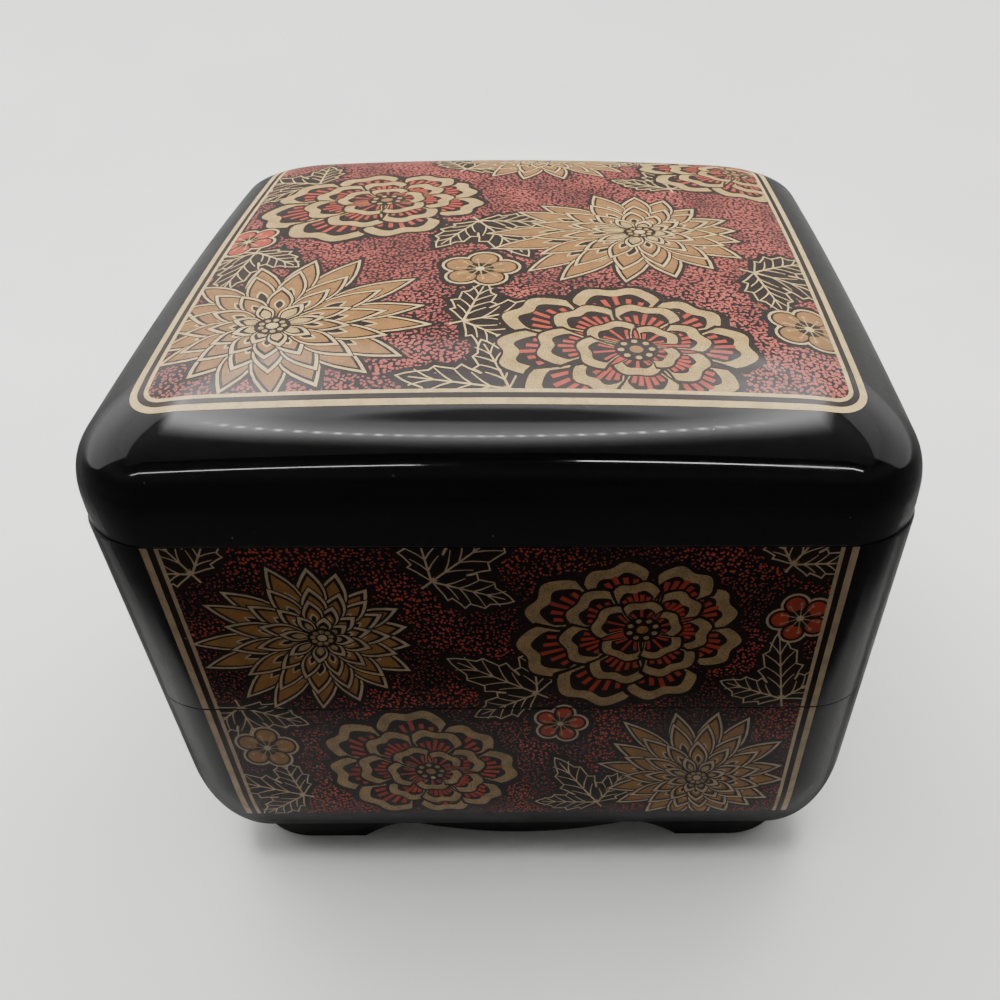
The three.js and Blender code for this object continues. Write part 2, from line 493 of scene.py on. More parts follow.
@dataclass(frozen=True)
class Motif:
    """A figure of the pattern at its place, size and turn, squashed as if seen at a slant."""

    x: float
    y: float
    size: float
    turn: float = 0.0
    squash: float = 1.0
    squash_turn: float = 0.0
    seed: int = 1

    def blot(self, points: np.ndarray, ink: Ink, angle: float = 0.0) -> Blot:
        """One outline of the figure, moved to the figure's place on the sheet.

        Args:
            points: The outline about the figure's own centre.
            ink: Its ink.
            angle: How far it is turned before the figure's own turn.

        Returns:
            The blot.
        """
        way = math.radians(self.squash_turn)
        points = turned(turned(points, angle), math.radians(self.turn) - way)
        points = turned(points * np.array([1.0, self.squash]), way)
        return Blot(points + np.array([self.x, self.y]), ink)

    def dot(self, reach: float, angle: float, radius: float, ink: Ink, steps: int = 7) -> Blot:
        """A round dot at a distance and angle from the figure's centre."""
        return self.blot(disc(reach * math.cos(angle), reach * math.sin(angle), radius, steps), ink)

    def dots(self, count: int, reach: float, radius: float, ink: Ink, steps: int = 7) -> list[Blot]:
        """A ring of round dots."""
        angles = [2 * math.pi * index / count for index in range(count)]
        return [self.dot(reach, angle, radius, ink, steps) for angle in angles]

    def halo(self) -> list[Blot]:
        """Black blots that clear the ground round the figure."""
        return []

    def blots(self) -> list[Blot]:
        """The figure's own blots, in the order in which they cover each other."""
        return []


@dataclass(frozen=True)
class Flower(Motif):
    """A flower of petals in rings. Each ring has its count, its reach, and a width of its own."""

    rings: tuple[tuple[int, float, float], ...] = ()
    lean_turn: float = 0.0
    lean: float = 0.0
    stray: float = 0.0
    reach_range: Pair = (1.0, 1.0)

    def rays(self, chance: np.random.Generator) -> Iterator[tuple[int, float, float]]:
        """Where the petals lie.

        Args:
            chance: The source of their small differences.

        Yields:
            Ring, angle and tip of each petal, outer rings first.
        """
        for ring, (count, reach, _) in enumerate(self.rings):
            for index in range(count):
                stray = chance.uniform(-self.stray, self.stray)
                angle = 2 * math.pi * (index + ring % 2 / 2) / count + stray
                lean = 1 + self.lean * math.cos(angle - math.radians(self.lean_turn))
                yield ring, angle, self.size * reach * lean * chance.uniform(*self.reach_range)


@dataclass(frozen=True)
class Dahlia(Flower):
    """A rosette of pointed, outlined petals in four rings."""

    rings: tuple[tuple[int, float, float], ...] = (
        (17, 1.0, 0.26),
        (15, 0.78, 0.23),
        (12, 0.55, 0.19),
        (8, 0.34, 0.14),
    )
    lean_turn: float = 40.0
    lean: float = 0.18
    stray: float = 0.05
    reach_range: Pair = (0.92, 1.06)
    base_share: float = 0.16
    drop_start: float = 0.26
    drop_end: float = 0.6
    drop_width: float = 0.42
    drop_bend: float = 0.4

    def petals(self) -> Iterator[tuple[int, float, float, float, float]]:
        """The petals' sizes.

        Yields:
            Ring, angle, tip, width and bend of each petal, outer rings first.
        """
        chance = np.random.default_rng(self.seed)
        for ring, angle, tip in self.rays(chance):
            width = self.size * self.rings[ring][2] * chance.uniform(0.9, 1.08)
            yield ring, angle, tip, width, tip * chance.uniform(-0.05, 0.05)

    def petal(
        self, angle: float, base: float, tip: float, width: float, bend: float, ink: Ink
    ) -> Blot:
        """One petal shape at an angle."""
        return self.blot(pointed_petal(base, tip, width, bend), ink, angle)

    def halo(self) -> list[Blot]:
        """Black petals that stand out past the outer ring."""
        outer = [one for one in self.petals() if one[0] == 0]
        return [self.petal(a, 0.0, t + 1.8, w + 2.4, b, Ink.BLACK) for _, a, t, w, b in outer]

    def blots(self) -> list[Blot]:
        """Each petal as a cream line, a black gap, a filled blade and a dark drop.

        Returns:
            The blots, the eye of the flower last.
        """
        made = []
        heart = len(self.rings) - 1
        for ring, angle, tip, width, bend in self.petals():
            base = tip * self.base_share
            near = base + (tip - base) * self.drop_start
            far = base + (tip - base) * self.drop_end
            drop, sway = width * self.drop_width, bend * self.drop_bend
            fill = Ink.GOLD if ring == heart else Ink.COPPER
            layers = [
                (base - 1.0, tip + 0.5, width + 0.8, bend, Ink.BLACK),
                (base, tip, width, bend, Ink.CREAM),
                (base + 0.5, tip - 1.3, width - 0.8, bend * 0.95, Ink.BLACK),
                (base + 1.2, tip - 2.5, width - 1.6, bend * 0.92, fill),
            ]
            if ring < heart:
                layers.append((near, far, drop, sway, Ink.CREAM))
                layers.append((near + 0.4, far - 0.7, drop - 0.75, sway, Ink.BLACK))
            made += [self.petal(angle, *layer) for layer in layers]
        radius = self.size * 0.12
        made.append(self.dot(0.0, 0.0, radius + 0.4, Ink.BLACK, 14))
        made += self.dots(9, radius * 0.7, 0.62, Ink.GOLD)
        return made + [self.dot(0.0, 0.0, radius * 0.38, Ink.CREAM, 9)]


@dataclass(frozen=True)
class Peony(Flower):
    """A full round flower: gold-rimmed petals with red strokes, in three rings."""

    rings: tuple[tuple[int, float, float], ...] = ((8, 1.0, 1.15), (7, 0.7, 0.95), (5, 0.42, 0.7))
    lean_turn: float = 200.0
    lean: float = 0.14
    stray: float = 0.08
    reach_range: Pair = (0.93, 1.05)
    base_share: float = 0.15

    def petals(self) -> Iterator[tuple[int, float, float, float]]:
        """The petals' sizes.

        Yields:
            Ring, angle, tip and half angle of each petal, outer rings first.
        """
        chance = np.random.default_rng(self.seed)
        for ring, angle, tip in self.rays(chance):
            yield ring, angle, tip, math.pi / self.rings[ring][0] * chance.uniform(1.0, 1.14)

    def petal(self, angle: float, base: float, tip: float, spread: float, ink: Ink) -> Blot:
        """One petal shape at an angle."""
        return self.blot(round_petal(base, tip, spread), ink, angle)

    def halo(self) -> list[Blot]:
        """Black petals that stand out past the outer ring."""
        outer = [one for one in self.petals() if one[0] == 0]
        return [self.petal(a, 0.5, t + 1.4, s * 1.1, Ink.BLACK) for _, a, t, s in outer]

    def blots(self) -> list[Blot]:
        """Each petal as a gold rim round a dark cup with red strokes.

        Returns:
            The blots, the middle of the flower last.
        """
        made = []
        for ring, angle, tip, spread in self.petals():
            base = tip * self.base_share
            rim = self.size * (0.13 - 0.02 * ring)
            made.append(self.petal(angle, base - 0.6, tip + 0.6, spread * 1.05, Ink.BLACK))
            made.append(self.petal(angle, base, tip, spread * 0.92, Ink.GOLD))
            made.append(self.petal(angle, base, tip - rim, spread * 0.78, Ink.BLACK))
            made += self.strokes(ring, angle, base, tip, spread)
        radius = self.size * 0.11
        made.append(self.dot(0.0, 0.0, radius * 1.6, Ink.BLACK, 14))
        made += self.dots(8, radius * 1.1, 0.65, Ink.GOLD)
        return made + [self.dot(0.0, 0.0, radius * 0.5, Ink.COPPER, 9)]

    def strokes(
        self, ring: int, angle: float, base: float, tip: float, spread: float
    ) -> list[Blot]:
        """Red strokes that fan out inside one petal.

        Args:
            ring: The petal's ring.
            angle: The petal's angle.
            base: Where the petal starts.
            tip: Where it ends.
            spread: Half of the angle that it fills.

        Returns:
            The strokes.
        """
        lines = 5 if ring < 2 else 3
        made = []
        for index in range(lines):
            off = (index / (lines - 1) - 0.5) * spread * 1.12
            far = tip * (0.83 - 0.05 * ring - 0.16 * abs(off) / spread)
            reach = np.linspace(base * 1.3, far, 4)
            share = (reach - reach[0]) / (reach[-1] - reach[0])
            line = turned(from_polar(reach, off * (0.45 + 0.55 * share)), angle)
            made.append(self.blot(stroke(line, 0.35, self.rings[ring][2]), Ink.RED))
        return made


@dataclass(frozen=True)
class Plum(Motif):
    """A small five-petalled blossom with stamens."""

    fill: Ink = Ink.COPPER
    stamens: int = 10
    stamen_start: float = 0.12
    stamen_end: float = 0.56

    def petals(self, grow: float, ink: Ink) -> list[Blot]:
        """The five round petals, each grown by a distance."""
        return self.dots(5, self.size * 0.56, self.size * 0.44 + grow, ink, 16)

    def halo(self) -> list[Blot]:
        """Black petals a little larger than the blossom's own."""
        return self.petals(1.3, Ink.BLACK) + [self.dot(0.0, 0.0, self.size * 0.5, Ink.BLACK)]

    def blots(self) -> list[Blot]:
        """Outlined petals with stamens that end in dots.

        Returns:
            The blots, the middle of the blossom last.
        """
        made = self.petals(0.0, Ink.CREAM) + self.petals(-0.55, Ink.BLACK)
        made += self.petals(-1.1, self.fill) + [self.dot(0.0, 0.0, self.size * 0.34, Ink.BLACK, 12)]
        reach = np.array([self.stamen_start, self.stamen_end]) * self.size
        for index in range(self.stamens):
            angle = 2 * math.pi * (index + 0.5) / self.stamens
            line = from_polar(reach, np.array([angle, angle]))
            made.append(self.blot(stroke(line, 0.25, 0.3), Ink.GOLD))
            made.append(self.dot(self.size * self.stamen_end, angle, 0.42, Ink.GOLD, 6))
        return made + [self.dot(0.0, 0.0, self.size * 0.12, Ink.CREAM, 8)]


@dataclass(frozen=True)
class Leaf(Motif):
    """A toothed leaf in three lobes, drawn in cream lines on black.

    Each lobe has its turn in degrees, its reach and its width, and each tooth its steps and swell.
    """

    teeth: int = 4
    lobes: tuple[Triple, ...] = ((0.0, 1.0, 0.4), (58.0, 0.74, 0.36), (-58.0, 0.74, 0.36))
    tooth: tuple[Pair, ...] = ((0.0, 0.86), (0.5, 1.0), (0.82, 1.2))

    def lobe(self, turn: float, reach: float, width: float, grow: float, ink: Ink) -> Blot:
        """One toothed lobe.

        Args:
            turn: Its direction, in degrees from the leaf's own.
            reach: Its length, as a share of the leaf's size.
            width: Its width, as a share of the leaf's size.
            grow: How far its outline moves out.
            ink: Its ink.

        Returns:
            The lobe.
        """
        marks = [(number + step, out) for number in range(self.teeth) for step, out in self.tooth]
        share, swell = np.array(marks).T
        share = 0.06 + 0.9 * share / self.teeth
        half = self.size * width / 2 * np.sin(math.pi * share**0.85) * swell
        length = self.size * reach
        edge = np.column_stack((share * length, -half))
        other = np.column_stack((share * length, half))[::-1]
        outline = np.vstack(([[0.0, 0.0]], edge, [[length, 0.0]], other))
        return self.blot(grown(outline, grow), ink, math.radians(turn))

    def halo(self) -> list[Blot]:
        """Black lobes a little larger than the leaf's own."""
        return [self.lobe(*lobe, 1.3, Ink.BLACK) for lobe in self.lobes]

    def blots(self) -> list[Blot]:
        """The leaf's outline, then its ribs and veins.

        Returns:
            The blots.
        """
        made = [self.lobe(*lobe, 0.0, Ink.CREAM) for lobe in self.lobes]
        made += [self.lobe(*lobe, -0.34, Ink.BLACK) for lobe in self.lobes]
        for turn, reach, width in self.lobes:
            made += self.veins(math.radians(turn), self.size * reach, self.size * width / 2)
        return made

    def veins(self, turn: float, length: float, half: float) -> list[Blot]:
        """The rib and side veins of one lobe.

        Args:
            turn: The lobe's direction.
            length: Its length.
            half: Half of its width.

        Returns:
            The lines.
        """
        stem = -0.12 * self.size if turn == 0 else 0.0
        rib = np.array([[stem, 0.0], [length * 0.5, 0.0], [length * 0.88, 0.0]])
        lines = [(rib, 0.5, 0.25)]
        share = np.linspace(0.0, 1.0, 4)
        for index in range(self.teeth):
            root = 0.16 + 0.66 * index / self.teeth
            out = half * math.sin(math.pi * (root + 0.1) ** 0.85) * 0.82
            for side in (1, -1):
                away = length * (root + 0.2 * share**0.8)
                lines.append((np.column_stack((away, side * out * share)), 0.34, 0.2))
        return [self.blot(stroke(turned(line, turn), a, b), Ink.CREAM) for line, a, b in lines]


@dataclass(frozen=True)
class Sheet:
    """A printed sheet: its motifs, its drawn borders and the outlines that it is cut to.

    The flat box is the part of the sheet that lies on a nearly flat surface. Outside it, outlines
    get more points, so that the film follows the bend.
    """

    motifs: tuple[Motif, ...]
    borders: tuple[Blot, ...]
    cuts: tuple[np.ndarray, ...]
    grid: np.ndarray
    flat_low: Pair
    flat_high: Pair
    pitch: float = 1.2
    merge_distance: float = 1e-4

    def refined(self, outline: np.ndarray) -> np.ndarray:
        """An outline with points added where it leaves the flat box.

        Args:
            outline: The outline.

        Returns:
            The outline with short edges there.
        """
        after = np.roll(outline, -1, axis=0)
        length = np.linalg.norm(after - outline, axis=1)
        middle = (outline + after) / 2
        bent = ((middle < self.flat_low) | (middle > self.flat_high)).any(axis=1)
        made = []
        for start, end, span, is_bent in zip(outline, after, length, bent):
            parts = max(1, math.ceil(span / self.pitch)) if is_bent else 1
            made += [start + (end - start) * step / parts for step in range(parts)]
        return np.array(made)

    def blots(self) -> list[Blot]:
        """Every blot of the sheet.

        Returns:
            The clearings, the figures and the borders, in this order.
        """
        made = [blot for motif in self.motifs for blot in motif.halo()]
        made += [blot for motif in self.motifs for blot in motif.blots()]
        low = np.min([cut.min(axis=0) for cut in self.cuts], axis=0)
        high = np.max([cut.max(axis=0) for cut in self.cuts], axis=0)
        kept = [
            blot
            for blot in made
            if (blot.points.max(axis=0) > low).all() and (blot.points.min(axis=0) < high).all()
        ]
        return kept + list(self.borders)

    def pressed(self) -> Pressed:
        """Cuts the sheet into triangles that follow every outline, and inks each one.

        Returns:
            The points, the triangles, the ink of each triangle, and the cut that it lies in or -1.
        """
        blots = self.blots()
        outlines = [blot.points for blot in blots] + list(self.cuts)
        loops = [self.refined(outline) for outline in outlines]
        edges = []
        start = 0
        for loop in loops:
            count = len(loop)
            edges += [(start + step, start + (step + 1) % count) for step in range(count)]
            start += count
        flat = [Vector((float(x), float(y))) for x, y in np.vstack(loops + [self.grid])]
        made = delaunay_2d_cdt(flat, edges, [], 0, self.merge_distance, False)
        points = np.array([tuple(point) for point in made[0]])
        faces = np.array([tuple(face) for face in made[2]])
        middles = points[faces].mean(axis=1)
        cut = np.full(len(faces), -1)
        for index, outline in enumerate(self.cuts):
            cut[covered(outline, middles)] = index
        inks = np.zeros(len(faces), dtype=int)
        for blot in blots:
            inks[covered(blot.points, middles)] = blot.ink.value
        return points, faces, inks, cut


def covered(outline: np.ndarray, points: np.ndarray) -> np.ndarray:
    """Which points lie inside a closed outline, by the way it winds round them.

    Args:
        outline: The outline.
        points: The points.

    Returns:
        Indices of the points inside.
    """
    low, high = outline.min(axis=0), outline.max(axis=0)
    near = np.flatnonzero(((points > low) & (points < high)).all(axis=1))
    x, y = points[near].T
    winding = np.zeros(len(near), dtype=int)
    for start, end in zip(outline, np.roll(outline, -1, axis=0)):
        rising = (start[1] <= y) & (end[1] > y)
        falling = (start[1] > y) & (end[1] <= y)
        turn = (end[0] - start[0]) * (y - start[1]) - (x - start[0]) * (end[1] - start[1])
        winding += (rising & (turn > 0)).astype(int) - (falling & (turn < 0)).astype(int)
    return near[winding != 0]


def square_loop(half: float, corner: float) -> np.ndarray:
    """A rounded-square outline in millimetres."""
    return square_ring(half, corner, 0.0, 70, 12)[:, :2]


def rectangle(left: float, low: float, right: float, high: float) -> np.ndarray:
    """A rectangle's outline, counter-clockwise."""
    return np.array([(left, low), (right, low), (right, high), (left, high)], dtype=float)


def mirrored(points: np.ndarray) -> np.ndarray:
    """An outline turned left for right, still counter-clockwise."""
    return (points * np.array([-1.0, 1.0]))[::-1]


def frame_blot(half: float, corner: float, width: float, ink: Ink) -> Blot:
    """A closed square line of a given width, as one outline that runs round and back.

    Args:
        half: Half of its outer width.
        corner: Radius of its outer corners.
        width: The line's width.
        ink: Its ink.

    Returns:
        The line.
    """
    outer = square_loop(half, corner)
    inner = square_loop(half - width, max(corner - width, 0.5))
    return Blot(np.vstack((outer, outer[:1], inner[:1], inner[::-1])), ink)


# Materials


class Shader:
    """A node tree, with short calls for the nodes that the finishes use."""

    def __init__(self, tree: bpy.types.NodeTree) -> None:
        """Keeps the tree."""
        self.tree = tree

    def feed(self, node: bpy.types.Node, feeds: Feeds) -> None:
        """Links sockets to a node's inputs, or sets plain values on them.

        Args:
            node: The node.
            feeds: A socket or a plain value for each input, by its name or place.
        """
        for name, value in feeds.items():
            if isinstance(value, Socket):
                self.tree.links.new(value, node.inputs[name])
            else:
                node.inputs[name].default_value = value

    def node(self, kind: str, feeds: Feeds, **values: object) -> bpy.types.Node:
        """Adds a node.

        Args:
            kind: Its type.
            feeds: A socket or a plain value for each input, by its name or place.
            values: Its properties.

        Returns:
            The node.
        """
        made = self.tree.nodes.new(kind)
        for name, value in values.items():
            setattr(made, name, value)
        self.feed(made, feeds)
        return made

    def group(self, name: str, feeds: Feeds) -> bpy.types.NodeOutputs:
        """A shared node group's results."""
        return self.node("ShaderNodeGroup", feeds, node_tree=bpy.data.node_groups[name]).outputs

    def place(self) -> Socket:
        """Places on the object itself."""
        return self.node("ShaderNodeTexCoord", {}).outputs["Object"]

    def axes(self) -> bpy.types.NodeOutputs:
        """X, Y and Z of the places on the object itself."""
        return self.node("ShaderNodeSeparateXYZ", {0: self.place()}).outputs

    def sheet(self) -> Socket:
        """Places on the printed sheet, in millimetres."""
        return self.node("ShaderNodeAttribute", {}, attribute_name=SHEET_MARKS).outputs["Vector"]

    def cells(self, place: Socket, scale: object, kind: str = "2D") -> bpy.types.NodeOutputs:
        """A cell texture's results over places, flat or in space."""
        feeds = {"Vector": place, "Scale": scale}
        return self.node("ShaderNodeTexVoronoi", feeds, voronoi_dimensions=kind).outputs

    def noise(self, place: Socket, scale: float, detail: float, output: str | int = 0) -> Socket:
        """A noise texture's value or colour over places."""
        feeds = {"Vector": place, "Scale": scale, "Detail": detail}
        return self.node("ShaderNodeTexNoise", feeds).outputs[output]

    def maths(self, operation: str, *values: object) -> Socket:
        """A maths node's result."""
        return self.node("ShaderNodeMath", dict(enumerate(values)), operation=operation).outputs[0]

    def vectors(self, operation: str, feeds: Feeds) -> Socket:
        """A vector maths node's result."""
        return self.node("ShaderNodeVectorMath", feeds, operation=operation).outputs[0]

    def product(self, *factors: object) -> Socket:
        """The product of several values."""
        return reduce(partial(self.maths, "MULTIPLY"), factors)

    def distance(self, value: Socket, centre: float) -> Socket:
        """How far a value lies from a centre."""
        return self.maths("ABSOLUTE", self.maths("SUBTRACT", value, centre))

    def ramp(
        self, value: object, low: float, high: float, to_low: float = 0.0, to_high: float = 1.0
    ) -> Socket:
        """A smooth step from one value to another."""
        feeds = {0: value, "From Min": low, "From Max": high, "To Min": to_low, "To Max": to_high}
        return self.node("ShaderNodeMapRange", feeds, interpolation_type="SMOOTHSTEP").outputs[0]

    def mix(self, share: object, first: object, second: object) -> Socket:
        """A mix of two colours."""
        feeds = {"Factor": share, "A": first, "B": second}
        return self.node("ShaderNodeMix", feeds, data_type="RGBA").outputs["Result"]


class MaterialShader(Shader):
    """A new material's tree round its surface node."""

    def __init__(self, name: str) -> None:
        """Starts the material.

        Args:
            name: Its name.
        """
        self.material = bpy.data.materials.new(name)
        self.material.use_nodes = True
        super().__init__(self.material.node_tree)
        self.surface = self.tree.nodes["Principled BSDF"]


class GroupShader(Shader):
    """A new node group's tree, from its inputs to its results."""

    def __init__(self, name: str, **inputs: str) -> None:
        """Starts the group.

        Args:
            name: Its name.
            inputs: The socket type of each input.
        """
        super().__init__(bpy.data.node_groups.new(name, "ShaderNodeTree"))
        for label, kind in inputs.items():
            self.tree.interface.new_socket(label, in_out="INPUT", socket_type=kind)
        self.given = self.node("NodeGroupInput", {}).outputs

    def end(self, **results: Socket) -> None:
        """Gives the group its results.

        Args:
            results: The source of each.
        """
        for label, source in results.items():
            kind = FLOAT if source.type == "VALUE" else COLOUR
            self.tree.interface.new_socket(label, in_out="OUTPUT", socket_type=kind)
        self.node("NodeGroupOutput", results)


def handled_gloss_group() -> None:
    """Gloss that has been handled: smudged roughness, sparse dust, and a faint orange peel."""
    shader = GroupShader("handled_gloss", Roughness=FLOAT, Smudge=FLOAT, Dust=FLOAT)
    place, given = shader.place(), shader.given
    smear = shader.ramp(shader.noise(place, scale=38.0, detail=4.0), 0.48, 0.72)
    fine = shader.ramp(shader.noise(place, scale=420.0, detail=2.0), 0.4, 0.7, 0.0, 0.02)
    rough = shader.maths("ADD", given["Roughness"], shader.product(smear, given["Smudge"]))
    grain = shader.ramp(shader.cells(place, 260.0, "3D")["Distance"], 0.03, 0.09, 1.0, 0.0)
    picked = shader.ramp(shader.noise(place, scale=90.0, detail=1.0), 0.58, 0.64)
    shader.end(
        Roughness=shader.maths("ADD", rough, fine),
        Dust=shader.product(grain, picked, given["Dust"]),
        Height=shader.noise(place, scale=170.0, detail=2.0),
    )


def ink_flecks_group() -> None:
    """Printed ink: dark pinholes of uneven size and a slow change of strength."""
    shader = GroupShader("ink_flecks", Ink=COLOUR, Under=COLOUR, Wear=FLOAT)
    place, given = shader.sheet(), shader.given
    holes = shader.cells(place, 2.5)
    sizes = shader.product(holes["Color"], 0.36)
    hole = shader.ramp(shader.maths("SUBTRACT", holes["Distance"], sizes), -0.06, 0.03, 1.0, 0.0)
    cloud = shader.ramp(shader.noise(place, scale=0.3, detail=3.0), 0.35, 0.7)
    tone = shader.mix(shader.product(cloud, 0.25), given["Ink"], given["Under"])
    shader.end(Color=shader.mix(shader.product(hole, given["Wear"]), tone, given["Under"]))


def speckle_group() -> None:
    """Ground of dense uneven dots and short dashes."""
    tints = {"Dot": COLOUR, "Bright": COLOUR, "Under": COLOUR}
    shader = GroupShader("speckle_ground", **tints, Scale=FLOAT, Fill=FLOAT)
    place, given = shader.sheet(), shader.given
    sway = shader.noise(place, scale=0.6, detail=1.0, output="Color")
    moved = shader.vectors("ADD", {0: place, 1: shader.vectors("SCALE", {0: sway, "Scale": 0.9})})
    dots = shader.cells(moved, given["Scale"])
    lift = shader.ramp(shader.noise(place, scale=0.06, detail=2.0), 0.36, 0.64)
    sizes = shader.maths("MULTIPLY_ADD", dots["Color"], 0.16, given["Fill"])
    sizes = shader.maths("MULTIPLY_ADD", lift, 0.08, sizes)
    cover = shader.ramp(shader.maths("SUBTRACT", dots["Distance"], sizes), -0.06, 0.06, 1.0, 0.0)
    tone = shader.mix(lift, given["Dot"], given["Bright"])
    shader.end(Color=shader.mix(cover, given["Under"], tone))


@dataclass(frozen=True)
class Gloss:
    """A glossy lacquered finish. Every finish of the box has this coat."""

    name: str
    colour: Tint
    roughness: float = 0.08
    smudge: float = 0.1
    dust: float = 0.3
    gloss_level: float = 0.12
    rim: Ramp = (0.4, 0.85, 0.0, 0.45)
    peel: float = 0.00001
    peel_strength: float = 0.25
    dust_colour: Tint = (0.35, 0.34, 0.32)

    def material(self) -> bpy.types.Material:
        """Builds the material.

        Returns:
            The material.
        """
        shader = MaterialShader(self.name)
        coat = {"Roughness": self.roughness, "Smudge": self.smudge, "Dust": self.dust}
        coat = shader.group("handled_gloss", coat)
        facing = shader.node("ShaderNodeLayerWeight", {"Blend": 0.5}).outputs["Facing"]
        bump = {"Strength": self.peel_strength, "Distance": self.peel, "Height": coat["Height"]}
        colour = shader.mix(coat["Dust"], self.colour_socket(shader), (*self.dust_colour, 1.0))
        rough = shader.maths("ADD", coat["Roughness"], shader.ramp(facing, *self.rim))
        surface = {
            "Base Color": colour,
            "Roughness": rough,
            "Normal": shader.node("ShaderNodeBump", bump).outputs["Normal"],
            "Specular IOR Level": self.gloss_level,
        }
        shader.feed(shader.surface, surface)
        shader.material.diffuse_color = (*self.colour, 1.0)
        return shader.material

    def colour_socket(self, shader: Shader) -> Socket:
        """The finish's colour, with a slow change over the surface.

        Args:
            shader: The material's shader helper.

        Returns:
            The colour.
        """
        drift = shader.ramp(shader.noise(shader.place(), scale=22.0, detail=2.0), 0.35, 0.65)
        deep = tuple(0.7 * part for part in self.colour)
        return shader.mix(drift, (*deep, 1.0), (*self.colour, 1.0))


@dataclass(frozen=True)
class PrintedInk(Gloss):
    """Ink under the gloss coat, with pinholes and a slow change of strength."""

    wear: float = 0.5
    under: Tint = (0.02, 0.017, 0.015)

    def colour_socket(self, shader: Shader) -> Socket:
        """The ink's colour with its flecks."""
        tints = {"Ink": (*self.colour, 1.0), "Under": (*self.under, 1.0)}
        return shader.group("ink_flecks", {**tints, "Wear": self.wear})["Color"]


@dataclass(frozen=True)
class SpeckledGround(Gloss):
    """Ground of red dots on black under the gloss coat."""

    bright: Tint = (0.35, 0.052, 0.03)
    under: Tint = (0.006, 0.0045, 0.0045)
    scale: float = 1.15
    fill: float = 0.13

    def colour_socket(self, shader: Shader) -> Socket:
        """The ground's colour.

        Args:
            shader: The material's shader helper.

        Returns:
            The colour.
        """
        tints = {"Dot": self.colour, "Bright": self.bright, "Under": self.under}
        feeds = {label: (*tint, 1.0) for label, tint in tints.items()}
        feeds |= {"Scale": self.scale, "Fill": self.fill}
        return shader.group("speckle_ground", feeds)["Color"]


@dataclass(frozen=True)
class Palette:
    """The print's inks in one place: their ground, cream and gold, their gloss and strength. The
    strength scales every ink's colour: painted light on the lid's copy, painted shade on the
    sides'.
    """

    place: str
    ground: SpeckledGround
    cream: Tint
    gold: Tint
    gloss_level: float
    strength: float

    def materials(self) -> list[bpy.types.Material]:
        """Builds the print's materials.

        Returns:
            The materials, in the order of the inks.
        """
        finishes = {
            Ink.GROUND: self.ground,
            Ink.BLACK: Gloss("black", (0.014, 0.0075, 0.005)),
            Ink.CREAM: PrintedInk("cream", self.cream, wear=0.35),
            Ink.GOLD: PrintedInk("gold", self.gold, wear=0.8),
            Ink.COPPER: PrintedInk("copper", (0.24, 0.115, 0.032), wear=0.5),
            Ink.RED: PrintedInk("red", (0.33, 0.04, 0.02), wear=0.3),
        }
        made = []
        for ink in Ink:
            finish = replace(finishes[ink], gloss_level=self.gloss_level)
            # painted light and shade: the strength lightens the lid's copy of every ink and darkens
            # the sides' copy
            colour = tuple(part * self.strength for part in finish.colour)
            name = f"{self.place}_{finish.name}"
            made.append(replace(finish, name=name, colour=colour).material())
        return made


class Finishes:
    """All materials of the box, built once."""

    def __init__(self) -> None:
        """Builds the shared node groups, then the materials."""
        handled_gloss_group()
        ink_flecks_group()
        speckle_group()
        lid = Gloss("lid_lacquer", (0.003, 0.0025, 0.0025), 0.045, 0.05, gloss_level=0.23)
        self.lid = lid.material()
        self.tray = Gloss("tray_lacquer", (0.004, 0.0036, 0.0036)).material()
        self.inside = Gloss("inside_lacquer", (0.014, 0.012, 0.012), 0.2, 0.12, 0.15).material()
        self.foot = Gloss("foot_lacquer", (0.012, 0.011, 0.011), 0.3, 0.15, 0.5).material()
        ground = SpeckledGround("ground", (0.215, 0.033, 0.02))
        # painted shade: the sides' cream, gold and strength are a darker copy of the lid's inks
        cream, gold = (0.36, 0.262, 0.158), (0.285, 0.185, 0.086)
        self.side_prints = Palette("side", ground, cream, gold, 0.12, 0.95).materials()
        bright = (0.37, 0.08, 0.056)
        ground = SpeckledGround("ground", (0.21, 0.046, 0.035), bright=bright, scale=1.2, fill=0.27)
        # painted light: the lid's cream, gold and strength are a lighter copy of the sides' inks
        cream, gold = (0.55, 0.392, 0.165), (0.4, 0.265, 0.09)
        self.lid_prints = Palette("lid", ground, cream, gold, 0.2, 1.18).materials()


# The printed pattern


